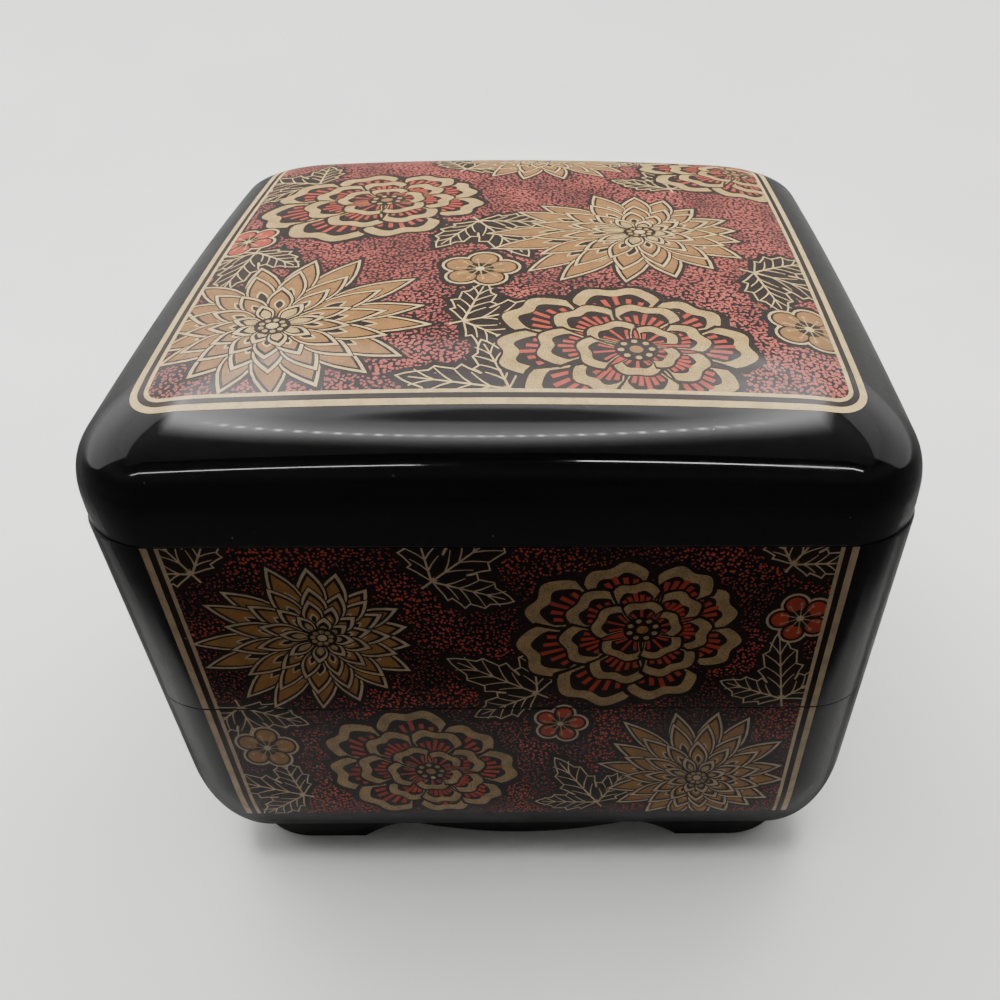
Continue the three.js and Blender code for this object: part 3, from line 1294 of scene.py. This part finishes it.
@dataclass(frozen=True)
class Print:
    """Turns sheets into films of ink on the box."""

    form: BoxForm
    finishes: Finishes
    film: float = 0.00004
    probe: float = 0.00002
    lid_half: float = 0.0695
    lid_loop_corner: float = 0.0072
    side_half: float = 0.0683
    side_low: float = 0.0211
    seam_ease: float = 0.00022
    lines: tuple[tuple[float, Ink], ...] = (
        (0.00145, Ink.CREAM),
        (0.0013, Ink.BLACK),
        (0.00085, Ink.CREAM),
    )

    def border_lines(self) -> Iterator[tuple[float, float, Ink]]:
        """The drawn border's lines, in millimetres.

        Yields:
            Inset, width and ink of each line, outermost first.
        """
        inset = 0.0
        for width, ink in self.lines:
            yield inset, width / MM, ink
            inset += width / MM

    def lid_sheet(self) -> Sheet:
        """The lid's pattern inside a closed double border.

        Returns:
            The sheet.
        """
        half, corner = self.lid_half / MM, self.lid_loop_corner / MM
        motifs = (
            Leaf(-52, 40, 26, 150), Leaf(-14, 50, 24, 60), Leaf(-8, 8, 25, -60),
            Leaf(-8, -44, 24, 20), Leaf(54, -18, 26, -20), Leaf(40, 34, 22, 100),
            Leaf(-58, -6, 22, -100), Leaf(2, -66, 22, 170), Leaf(34, 66, 20, 175),
            Dahlia(30, 2, 30, 10, 0.86, 20, 3, lean_turn=200),
            Dahlia(-46, -44, 29, 0, 0.9, -30, 5, lean_turn=60),
            Dahlia(6, 64, 24, 30, 0.9, 0, 8, lean_turn=270),
            Peony(-32, 24, 27, 20, 0.88, 10, 4),
            Peony(26, -54, 25, 50, 0.9, -10, 9, lean_turn=90),
            Peony(60, 54, 25, 0, 0.9, 0, 12),
            Plum(-6, -20, 9, 10), Plum(-62, 2, 8, 40, fill=Ink.RED), Plum(62, -42, 9, 5),
        )
        borders = tuple(
            frame_blot(half - inset, max(corner - inset, 3.0), width, ink)
            for inset, width, ink in self.border_lines()
        )
        rings = [
            square_ring(half - inset, max(corner - inset, 1.0), 0.0, int(1.8 * half), 5)[:, :2]
            for inset in np.arange(0.6, 7.0, 1.1)
        ]
        inner = half - sum(width for width, _ in self.lines) / MM - 4.0
        ticks = np.arange(-inner, inner + 0.1, 2.6)
        grid = np.vstack(rings + [np.array([(x, y) for x in ticks for y in ticks])])
        return Sheet(motifs, borders, (square_loop(half, corner),), grid, (-50, -50), (50, 50))

    def side_sheet(self) -> Sheet:
        """The pattern of one upright face, cut at the seam between the trays.

        Returns:
            The sheet. Its first cut is the lower tray's and its second the upper tray's.
        """
        form, half = self.form, self.side_half / MM
        low, high = self.side_low / MM, (form.upper_rim - self.seam_ease) / MM
        seam_low = (form.lower_rim - self.seam_ease) / MM
        seam_high = (form.lower_rim + self.seam_ease) / MM
        motifs = (
            Leaf(-14, 98, 23, 40), Leaf(-60, 62, 21, -80), Leaf(6, 66, 22, 150),
            Leaf(60, 64, 21, 100), Leaf(-60, 100, 20, 120), Leaf(20, 26, 21, 120),
            Leaf(-52, 30, 21, 160), Leaf(56, 102, 18, 60),
            Dahlia(-38, 83, 23, 10, 0.86, 20, 3, lean_turn=200),
            Peony(28, 85, 23, 20, 0.88, 10, 4),
            Peony(-20, 39, 22, 50, 0.88, -10, 9, lean_turn=90),
            Dahlia(44, 36, 23, 0, 0.9, -30, 5, lean_turn=120),
            Plum(-57, 48, 7.5, 10), Plum(60, 88, 7, 40, fill=Ink.RED),
            Plum(11, 56, 6.5, 5, fill=Ink.RED),
        )
        strips = [
            (rectangle(half - inset - width, low - 2, half - inset, high + 2), ink)
            for inset, width, ink in self.border_lines()
        ]
        borders = [Blot(strip, ink) for strip, ink in strips]
        borders += [Blot(mirrored(strip), ink) for strip, ink in strips]
        cuts = (rectangle(-half, low, half, seam_low), rectangle(-half, seam_high, half, high))
        curved = (form.ground_height + form.base_round_height) / MM
        rows = np.arange(low + 0.9, curved, 1.2)
        grid = [(x, y) for x in np.arange(-64.0, 64.1, 2.5) for y in rows]
        rows = np.arange(low + 1, high, 3.0)
        grid += [(sign * (half - off), y) for sign in (1, -1) for off in (0.7, 2.1) for y in rows]
        return Sheet(motifs, tuple(borders), cuts, np.array(grid), (-64, curved), (64, high))

    def add(
        self,
        name: str,
        body: str,
        slot: str,
        surface: Surface,
        pressed: Pressed,
        cut: int = 0,
        mirror: bool = False,
    ) -> None:
        """Lays one cut of a pressed sheet on a surface.

        Args:
            name: The film's name.
            body: The body that it rides on.
            slot: The record's material slot; not used.
            surface: Places on the sheet to points on the box, in metres.
            pressed: The pressed sheet.
            cut: The cut to use.
            mirror: Whether the sheet is turned left for right.
        """
        points, faces, inks, cuts = pressed
        faces, inks = faces[cuts == cut], inks[cuts == cut]
        used, index = np.unique(faces, return_inverse=True)
        places = points[used] * MM
        faces = index.reshape(faces.shape)
        if mirror:
            places = places * np.array([-1.0, 1.0])
            faces = faces[:, ::-1]
        step = self.probe
        across = surface(places + [step, 0.0]) - surface(places - [step, 0.0])
        along = surface(places + [0.0, step]) - surface(places - [0.0, step])
        normal = np.cross(across, along)
        normal = normal / np.linalg.norm(normal, axis=1)[:, None]
        film = add_mesh(name, surface(places) + normal * self.film, faces)
        film.data.normals_split_custom_set_from_vertices(normal.tolist())
        marks = film.data.attributes.new(SHEET_MARKS, "FLOAT_VECTOR", "POINT")
        flat = np.column_stack((places / MM, np.zeros(len(places))))
        marks.data.foreach_set("vector", flat.ravel())
        prints = self.finishes.lid_prints if body == "lid" else self.finishes.side_prints
        for material in prints:
            film.data.materials.append(material)
        film.data.polygons.foreach_set("material_index", inks)
        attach(film, body)
        log.info("%s: %d faces of ink", name, len(faces))

    def build(self) -> None:
        """Prints the lid's top and the four sides of both trays."""
        surface = self.form.lid_surface
        self.add("lid_print", "lid", "lid_lacquer", surface, self.lid_sheet().pressed())
        pressed = self.side_sheet().pressed()
        for side in Side:
            surface = partial(self.form.side_surface, side=side)
            mirror = side in (Side.RIGHT, Side.LEFT)
            for cut, (tray, body) in enumerate((("lower", "base"), ("upper", "upper_tray"))):
                name = f"{tray}_print_{side.name.lower()}"
                self.add(name, body, "tray_lacquer", surface, pressed, cut, mirror)


# Mouldings


@dataclass
class Moulding:
    """What all mouldings share: the form, the finishes, and the sizes of rims and foot."""

    form: BoxForm
    finishes: Finishes
    skirt: float = 0.0018
    lip_height: float = 0.004
    lip_clearance: float = 0.0003
    lip_headroom: float = 0.0004
    seam_ease: float = 0.0002
    crest_ease: float = 0.0005
    recess_ease: float = 0.0003
    floor: float = 0.003
    foot_inset: float = 0.0085
    foot_wall: float = 0.006

    @property
    def rebate(self) -> float:
        """Depth of the recess that drops over a lip."""
        return self.lip_height + self.lip_headroom

    def rim_corners(self, rim: float) -> list[Triple]:
        """Profile corners over a stepped tray rim, from inside to outside.

        Args:
            rim: Height of the rim's outer shelf.

        Returns:
            Inset, height and rounding of each corner.
        """
        lip = self.skirt + self.lip_clearance
        crest = rim + self.lip_height
        return [
            (self.form.wall, crest, self.crest_ease),
            (lip, crest, self.crest_ease),
            (lip, rim, self.seam_ease),
            (0.0, rim, self.seam_ease),
        ]

    def dress(
        self, piece: bpy.types.Object, body: str, node: str, slot: str, materials: Materials
    ) -> None:
        """Gives a piece its materials and body, and hides the solid that it stands for.

        Args:
            piece: The piece.
            body: The body that it rides on.
            node: The solid that it stands for.
            slot: The record's material slot; not used.
            materials: The materials, the first for the outside.
        """
        for material in materials:
            piece.data.materials.append(material)
        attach(piece, body)
        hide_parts(node)
        log.info("%s: %d faces, in place of %s", piece.name, len(piece.data.polygons), node)

    def colour_inside(self, piece: bpy.types.Object, above: float = -1.0) -> None:
        """Gives the second material to a tray's inner faces.

        Args:
            piece: The tray.
            above: Height from which faces count as inner ones.
        """
        inner = self.form.half - self.form.wall + self.seam_ease
        for face in piece.data.polygons:
            at = face.center
            face.material_index = int(max(abs(at.x), abs(at.y)) < inner and at.z > above)


@dataclass
class UpperTray(Moulding):
    """The upper tray: filleted inside, with a skirt below that drops over the lower tray's lip."""

    floor_fillet: float = 0.006
    fillet_steps: int = 6

    def build(self) -> None:
        """Builds and dresses the tray."""
        form = self.form
        ceiling = form.lower_rim + self.rebate
        floor_top = ceiling + self.floor
        corners = [
            (form.wall + self.floor_fillet * 2, floor_top, 0.0),
            (form.wall, floor_top, self.floor_fillet),
            *self.rim_corners(form.upper_rim),
            (0.0, form.lower_rim, self.seam_ease),
            (self.skirt, form.lower_rim, self.recess_ease),
            (self.skirt, ceiling, self.recess_ease),
            (form.wall * 3, ceiling, 0.0),
        ]
        rings = [
            square_ring(form.half - inset, max(form.tray_corner - inset, form.corner_least), height)
            for inset, height in softened(corners, self.fillet_steps)
        ]
        piece = loft("upper_tray_moulding", rings, (floor_top, ceiling))
        materials = (self.finishes.tray, self.finishes.inside)
        self.dress(piece, "upper_tray", "upper_tray", "tray_lacquer", materials)
        self.colour_inside(piece)


@dataclass
class LowerTray(Moulding):
    """The lower tray: drawn in to a flat underside with a pad that centres the foot ring."""

    pad_corner: float = 0.0107
    pad_clearance: float = 0.0003
    pad_depth: float = 0.0015
    base_steps: int = 22

    def skin(self, wall: float, floor: float) -> list[np.ndarray]:
        """Rings of the rounded base from the wall down to the flat, outside or inside.

        Args:
            wall: Distance in from the outer skin.
            floor: Height above the outer skin at the bottom.

        Returns:
            The rings.
        """
        form = self.form
        top = form.ground_height + form.base_round_height
        rings = []
        for step in range(self.base_steps + 1):
            angle = QUARTER * step / self.base_steps
            drawn = form.base_round_inset * (1 - math.cos(angle))
            corner = max(form.tray_corner_at(drawn) - wall, form.corner_least)
            height = top - (form.base_round_height - floor) * math.sin(angle)
            rings.append(square_ring(form.half - wall - drawn, corner, height))
        return rings

    def build(self) -> None:
        """Builds and dresses the tray."""
        form = self.form
        base = form.ground_height
        rings = self.skin(form.wall, self.floor)[::-1]
        corners = [(form.wall, form.lower_rim - 0.001, 0.0), *self.rim_corners(form.lower_rim)]
        corners.append((0.0, form.lower_rim - 0.002, 0.0))
        for inset, height in softened(corners):
            rings.append(square_ring(form.half - inset, form.tray_corner - inset, height))
        rings += self.skin(0.0, 0.0)
        half = form.half - self.foot_inset - self.foot_wall - self.pad_clearance
        low, ease = base - self.pad_depth, self.recess_ease
        for shrink, height in ((0.0, base), (0.0, low + ease), (ease, low)):
            rings.append(square_ring(half - shrink, self.pad_corner, height))
        piece = loft("lower_tray_moulding", rings, (base + self.floor, low))
        materials = (self.finishes.tray, self.finishes.inside)
        self.dress(piece, "base", "lower_tray", "tray_lacquer", materials)
        self.colour_inside(piece, base + 0.001)


@dataclass
class Lid(Moulding):
    """The crowned lid: a hollow shell with soft shoulders and a rebate inside its skirt."""

    shoulder_steps: int = 44
    crown_rings: int = 7
    edge_steps: int = 26
    skirt_bands: int = 8
    outer_start: float = 0.1
    inner_start: float = 0.3
    inner_slope: float = 0.2

    def ring(self, inset: float, wall: float, skin: float) -> np.ndarray:
        """A ring on the outer or the inner skin of the shoulder.

        Args:
            inset: Distance in from that skin's skirt.
            wall: Distance of the skin from the outer skirt.
            skin: Depth of the skin under the outer top.

        Returns:
            The ring.
        """
        form = self.form
        share = float(form.shoulder(inset, form.shoulder_reach - wall))

        def height(x: np.ndarray, y: np.ndarray) -> np.ndarray:
            """Height over each place."""
            return form.upper_rim + (form.lid_rise - skin + form.crown_at(x, y)) * share

        corner = float(form.lid_corner_at(inset, wall))
        return square_ring(form.half - wall - inset, corner, height, self.edge_steps)

    def shoulder_rings(self, wall: float, skin: float, start: float) -> list[np.ndarray]:
        """Rings over one skin of the shoulder, from the skirt to the shoulder's end.

        Args:
            wall: Distance of the skin from the outer skirt.
            skin: Depth of the skin under the outer top.
            start: Angle of the first ring, which keeps it off the skirt's edge.

        Returns:
            The rings.
        """
        power = 2 / self.form.shoulder_power
        reach = self.form.shoulder_reach - wall
        angles = start + (QUARTER - start) * np.linspace(0.0, 1.0, self.shoulder_steps + 1)
        insets = [reach * (1 - max(math.cos(angle), 0.0) ** power) for angle in angles]
        return [self.ring(inset, wall, skin) for inset in insets]

    def middle_rings(self, wall: float, skin: float) -> list[np.ndarray]:
        """Rings across the crowned middle, from near the centre out.

        Args:
            wall: Distance of the skin from the outer skirt.
            skin: Depth of the skin under the outer top.

        Returns:
            The rings.
        """
        form = self.form
        end = form.half - form.shoulder_reach
        corner = float(form.lid_corner_at(form.shoulder_reach - wall, wall))

        def height(x: np.ndarray, y: np.ndarray) -> np.ndarray:
            """Height over each place."""
            return form.top - form.crown - skin + form.crown_at(x, y)

        shares = [ring / self.crown_rings for ring in range(1, self.crown_rings)]
        return [square_ring(end * s, corner * s, height, self.edge_steps) for s in shares]

    def build(self) -> None:
        """Builds and dresses the lid."""
        form, seam = self.form, self.form.upper_rim
        rings = self.middle_rings(0.0, 0.0)
        rings += self.shoulder_rings(0.0, 0.0, self.outer_start)[::-1]
        corners = [
            (0.0, seam + 0.003, 0.0),
            (0.0, seam, self.seam_ease),
            (self.skirt, seam, self.recess_ease),
            (self.skirt, seam + self.rebate, self.recess_ease),
            (form.wall, seam + self.rebate, self.crest_ease),
            (form.wall, seam + self.rebate + 0.001, 0.0),
        ]
        for inset, height in softened(corners):
            corner = form.lid_corner if inset <= self.seam_ease else form.tray_corner
            rings.append(square_ring(form.half - inset, corner - inset, height, self.edge_steps))
        rings += self.shoulder_rings(form.wall, form.lid_skin, self.inner_start)
        rings += self.middle_rings(form.wall, form.lid_skin)[::-1]
        piece = loft("lid_moulding", rings, (form.top, form.top - form.lid_skin))
        self.dress(piece, "lid", "lid", "lid_lacquer", (self.finishes.lid, self.finishes.inside))
        outside = (self.crown_rings + self.shoulder_steps + self.skirt_bands) * len(rings[0])
        for face in piece.data.polygons:
            is_inner = face.index > outside and face.normal.z < self.inner_slope
            face.material_index = int(is_inner)


@dataclass
class FootRing(Moulding):
    """The low foot: four corner feet joined by cusped aprons, as one swept ring."""

    corner: float = 0.017
    corner_least: float = 0.0012
    sole_round: float = 0.0008
    inner_round: float = 0.0005
    round_share: float = 0.42
    round_least: float = 0.0002
    round_steps: int = 5
    foot_length: float = 0.0316
    cusp_run: float = 0.0136
    cusp_height: float = 0.006
    apron_gap: float = 0.0014

    def underside(self, along: np.ndarray) -> np.ndarray:
        """Height of the ring's underside along one side.

        Args:
            along: Distances from the middle of the side.

        Returns:
            The heights.
        """
        sole_end = self.form.half - self.foot_inset - self.foot_length
        cusp = sole_end - self.cusp_run
        away = np.abs(along)
        share = np.clip((sole_end - away) / self.cusp_run, 0.0, 1.0)
        curve = self.cusp_height * (1 - (1 - share) ** 2)
        middle = np.clip(away / cusp, 0.0, 1.0)
        apron = self.apron_gap + (self.cusp_height - self.apron_gap) * middle**2
        return np.where(away < cusp, apron, curve)

    def build(self) -> None:
        """Builds and dresses the ring."""
        top, back = self.form.ground_height, self.foot_wall
        half = self.form.half - self.foot_inset
        plan = square_ring(half, self.corner, 0.0, 150, 16)[:, :2]
        along = np.where(np.abs(plan[:, 0]) > np.abs(plan[:, 1]), plan[:, 1], plan[:, 0])
        under = self.underside(along)
        room = np.clip((top - under) * self.round_share, self.round_least, None)
        outer, inner = np.minimum(self.sole_round, room), np.minimum(self.inner_round, room)
        section = [(np.zeros_like(under), np.full_like(under, top))]
        turns = [QUARTER * step / self.round_steps for step in range(self.round_steps + 1)]
        for turn in turns:
            rise = under + outer * (1 - math.sin(turn))
            section.append((outer * (1 - math.cos(turn)), rise))
        for turn in turns:
            rise = under + inner * (1 - math.cos(turn))
            section.append((back - inner * (1 - math.sin(turn)), rise))
        section.append((np.full_like(under, back), np.full_like(under, top)))
        rings = [
            np.column_stack((self.inset_plan(plan, half, inset), height))
            for inset, height in section
        ]
        piece = loft("foot_ring_moulding", rings)
        self.dress(piece, "base", "foot_ring", "foot_lacquer", (self.finishes.foot,))

    def inset_plan(self, plan: np.ndarray, half: float, inset: np.ndarray) -> np.ndarray:
        """The ring's plan moved in by an inset, square to its outline.

        Args:
            plan: The outer outline.
            half: Half of its width.
            inset: How far each point moves in.

        Returns:
            The moved outline.
        """
        run = half - self.corner
        centre = np.clip(plan, -run, run)
        away = plan - centre
        length = np.linalg.norm(away, axis=1)[:, None]
        return centre + away / length * np.maximum(length - inset[:, None], self.corner_least)


# Studio


@dataclass(frozen=True)
class Ceiling:
    """A glowing cloth overhead, with a dark round opening and a curved row of lamps in front.

    Each ramp has the distances between which a factor changes, and the factor at both of them.
    """

    height: float = 0.75
    left: float = -0.8
    right: float = 0.74
    front: float = -0.46
    back: float = 1.0
    middle: float = -0.03
    glow: float = 7.4
    opening_y: float = 0.045
    opening_width: float = 0.14
    opening_depth: float = 0.07
    row_y: float = -0.19
    row_middle: float = -0.05
    row_bow: float = 3.1
    lamp_pitch: float = 0.0195
    row_halo: Ramp = (0.0, 0.14, 0.6, 0.0)
    side_rise: Ramp = (0.18, 0.3, 0.6, 1.2)
    side_fall: Ramp = (0.36, 0.6, 1.0, 0.3)
    front_rise: Ramp = (-0.22, 0.02, 0.0, 1.0)
    back_fall: Ramp = (0.3, 0.6, 1.0, 0.4)
    opening_edge: Ramp = (0.4, 1.8, 0.08, 1.0)
    lamp_edge: Ramp = (0.0015, 0.0035, 44.0, 0.0)
    row_edge: Ramp = (0.006, 0.016, 1.0, 0.0)
    row_end: Ramp = (0.25, 0.3, 1.0, 0.0)

    def build(self) -> None:
        """Builds the cloth and its glowing material."""
        left, right, front, back = self.left, self.right, self.front, self.back
        corners = ((left, front), (left, back), (right, back), (right, front))
        points = np.array([(x, y, self.height) for x, y in corners])
        cloth = add_mesh("ceiling_cloth", points, [(0, 1, 2, 3)])
        shader = MaterialShader("ceiling_glow")
        axes = shader.axes()
        x, y = axes["X"], axes["Y"]
        off = shader.maths("SUBTRACT", x, self.row_middle)
        bow = shader.product(off, off, -self.row_bow)
        past = shader.maths("ADD", y, shader.maths("SUBTRACT", bow, self.row_y))
        glow = shader.product(self.level(shader, x, y, past), self.glow)
        strength = shader.maths("ADD", glow, self.lamps(shader, x, past))
        light = {"Emission Color": (1.0, 1.0, 1.0, 1.0), "Emission Strength": strength}
        shader.feed(shader.surface, light)
        cloth.data.materials.append(shader.material)
        cloth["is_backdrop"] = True

    def level(self, shader: Shader, x: Socket, y: Socket, past: Socket) -> Socket:
        """The cloth's soft glow, brightest near the lamps and to the sides.

        Args:
            shader: The material's shader helper.
            x: Place across the cloth.
            y: Place along the cloth.
            past: Distance behind the lamps.

        Returns:
            The level.
        """
        away = shader.distance(x, self.middle)
        halo = shader.ramp(shader.maths("ABSOLUTE", past), *self.row_halo)
        wide = shader.maths("DIVIDE", away, self.opening_width)
        deep = shader.maths("SUBTRACT", y, self.opening_y)
        deep = shader.maths("DIVIDE", deep, self.opening_depth)
        reach = shader.maths("ADD", shader.product(wide, wide), shader.product(deep, deep))
        return shader.product(
            shader.maths("ADD", halo, shader.ramp(away, *self.side_rise)),
            shader.ramp(reach, *self.opening_edge),
            shader.ramp(past, *self.front_rise),
            shader.ramp(y, *self.back_fall),
            shader.ramp(away, *self.side_fall),
        )

    def lamps(self, shader: Shader, x: Socket, past: Socket) -> Socket:
        """Extra glow of the lamps.

        Args:
            shader: The material's shader helper.
            x: Place across the cloth.
            past: Distance behind the lamps.

        Returns:
            The extra strength.
        """
        return shader.product(
            shader.ramp(shader.maths("PINGPONG", x, self.lamp_pitch / 2), *self.lamp_edge),
            shader.ramp(shader.maths("ABSOLUTE", past), *self.row_edge),
            shader.ramp(shader.distance(x, self.row_middle), *self.row_end),
        )


@dataclass(frozen=True)
class Lamp:
    """A rectangular light that faces a point. A glint shows only in the gloss."""

    name: str
    place: Place
    target: Place
    size: Pair
    power: float
    is_glint: bool = False

    def build(self) -> None:
        """Adds the light."""
        data = bpy.data.lights.new(self.name, "AREA")
        data.shape = "RECTANGLE"
        data.size, data.size_y = self.size
        data.energy = self.power
        light = bpy.data.objects.new(self.name, data)
        light.location = self.place
        way = Vector(self.target) - Vector(self.place)
        light.rotation_euler = way.to_track_quat("-Z", "Y").to_euler()
        light.visible_diffuse = not self.is_glint
        bpy.context.collection.objects.link(light)


@dataclass(frozen=True)
class Studio:
    """Pale floor and backdrop, soft light from above, and the camera at the photograph's angle.

    The ramps give the share of painted shade in the paper's colour: past its sides, towards the
    front, and up the wall behind it, where the last one takes part of the shade away again.
    """

    camera_place: Place = (0.011432, -0.22302, 0.215542)
    camera_yaw: float = -0.017
    camera_pitch: float = 0.769
    camera_roll: float = 0.008
    camera_centre: Pair = (0.573362, 0.649)
    focal_share: float = 0.933537
    sensor_width: float = 36.0
    clip_start: float = 0.01
    tent_radius: float = 0.85
    tent_sweep: float = 0.3
    tent_height: float = 0.95
    tent_steps: int = 96
    sweep_steps: int = 12
    paper_half: float = 0.2
    paper_spread: float = 0.45
    # painted shade: these ramps and the shade tint darken the paper's colour where the tent is dim
    side_shade: Ramp = (-0.01, 0.06, 0.0, 1.0)
    front_shade: Ramp = (-0.149, -0.121, 1.0, 0.0)
    wall_shade: Ramp = (0.07, 0.16, 0.0, 1.0)
    high_shade: Ramp = (0.35, 0.55, 1.0, 0.75)
    paper_tints: tuple[Tint, Tint] = ((0.9, 0.9, 0.885), (0.94, 0.94, 0.925))
    shade_tint: Tint = (0.1, 0.1, 0.1)
    paper_roughness: float = 0.8
    world_tint: Tint = (0.9, 0.93, 1.0)
    world_strength: float = 0.04
    lamps: tuple[Lamp, ...] = (
        Lamp("left_strip", (-0.35, -0.6, 0.58), (-0.35, 0.0, 0.1), (0.45, 0.013), 0.8, True),
        Lamp("right_strip", (0.26, -0.55, 0.63), (0.26, 0.0, 0.1), (0.45, 0.013), 1.25, True),
        Lamp("left_soft", (-0.62, 0.3, 0.45), (0.0, 0.05, 0.05), (0.95, 0.65), 3.7),
        Lamp("right_soft", (0.62, 0.3, 0.45), (0.0, 0.05, 0.05), (0.95, 0.65), 3.0),
    )

    def build(self) -> None:
        """Builds the whole set."""
        self.camera()
        self.tent()
        for lamp in self.lamps:
            lamp.build()
        Ceiling().build()
        self.world()

    def camera(self) -> None:
        """Places the camera from its fitted angles and centre."""
        data = bpy.data.cameras.new("camera")
        camera = bpy.data.objects.new("camera", data)
        bpy.context.collection.objects.link(camera)
        yaw, pitch, roll = self.camera_yaw, self.camera_pitch, self.camera_roll
        flat = math.cos(pitch)
        look = Vector((-math.sin(yaw) * flat, math.cos(yaw) * flat, -math.sin(pitch)))
        right = Vector((math.cos(yaw), math.sin(yaw), 0.0))
        up = right.cross(look)
        across = right * math.cos(roll) + up * math.sin(roll)
        upward = up * math.cos(roll) - right * math.sin(roll)
        turn = Matrix((across, upward, -look)).transposed()
        camera.matrix_world = Matrix.Translation(self.camera_place) @ turn.to_4x4()
        data.sensor_width = self.sensor_width
        data.lens = self.focal_share * data.sensor_width
        data.shift_x = 0.5 - self.camera_centre[0]
        data.shift_y = self.camera_centre[1] - 0.5
        data.clip_start = self.clip_start
        bpy.context.scene.camera = camera

    def tent(self) -> None:
        """Builds a round floor that sweeps up into a wall on all sides."""
        profile = [(self.tent_radius - self.tent_sweep, 0.0)]
        for step in range(1, self.sweep_steps + 1):
            angle = QUARTER * step / self.sweep_steps
            reach = self.tent_radius - self.tent_sweep * (1 - math.sin(angle))
            profile.append((reach, self.tent_sweep * (1 - math.cos(angle))))
        profile.append((self.tent_radius, self.tent_height))
        around = self.tent_steps
        points = [(0.0, 0.0, 0.0)]
        for reach, height in profile:
            for step in range(around):
                angle = 2 * math.pi * step / around
                points.append((reach * math.cos(angle), reach * math.sin(angle), height))
        faces = [(0, 1 + step, 1 + (step + 1) % around) for step in range(around)]
        for ring in range(len(profile) - 1):
            low, high = 1 + ring * around, 1 + (ring + 1) * around
            for step in range(around):
                after = (step + 1) % around
                faces.append((low + step, high + step, high + after, low + after))
        floor = add_mesh("studio_floor", np.array(points), faces)
        floor.data.materials.append(self.paper())
        floor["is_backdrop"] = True

    def paper(self) -> bpy.types.Material:
        """Pale paper under and behind the box, in a tent that is open towards the front, with
        painted shade that darkens its colour past its sides, towards the front and up the wall.

        Returns:
            The material.
        """
        shader = MaterialShader("studio_paper")
        axes = shader.axes()
        cloud = shader.ramp(shader.noise(shader.place(), scale=9.0, detail=3.0), 0.3, 0.7)
        tone = shader.mix(cloud, *((*tint, 1.0) for tint in self.paper_tints))
        width = shader.maths("MULTIPLY_ADD", axes["Y"], self.paper_spread, self.paper_half)
        past = shader.maths("SUBTRACT", shader.maths("ABSOLUTE", axes["X"]), width)
        side = shader.ramp(past, *self.side_shade)
        front = shader.ramp(axes["Y"], *self.front_shade)
        shade = shader.maths("MAXIMUM", side, front)
        shade = shader.maths("MAXIMUM", shade, shader.ramp(axes["Z"], *self.wall_shade))
        shade = shader.product(shade, shader.ramp(axes["Z"], *self.high_shade))
        # painted shade: the paper's colour is mixed towards the dark shade tint
        tone = shader.mix(shade, tone, (*self.shade_tint, 1.0))
        shader.feed(shader.surface, {"Base Color": tone, "Roughness": self.paper_roughness})
        return shader.material

    def world(self) -> None:
        """Sets a dim even surround."""
        world = bpy.data.worlds.new("studio_world")
        world.use_nodes = True
        background = world.node_tree.nodes["Background"]
        background.inputs["Color"].default_value = (*self.world_tint, 1.0)
        background.inputs["Strength"].default_value = self.world_strength
        bpy.context.scene.world = world


def write_sizes() -> None:
    """Makes plain lists of the solids' box and the visual model's box, and does not keep them."""
    boxes = {"cad": cad_bounds, "visual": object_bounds()}
    sizes = {name: [list(corner) for corner in box] for name, box in boxes.items()}


def main() -> None:
    """Builds the set, the mouldings and the print in order."""
    logging.basicConfig(level=logging.INFO, format="%(name)s: %(message)s")
    Studio().build()
    form = BoxForm.from_frame()
    finishes = Finishes()
    for kind in (FootRing, LowerTray, UpperTray, Lid):
        kind(form, finishes).build()
    Print(form, finishes).build()
    write_sizes()


if __name__ == "__main__":
    main()
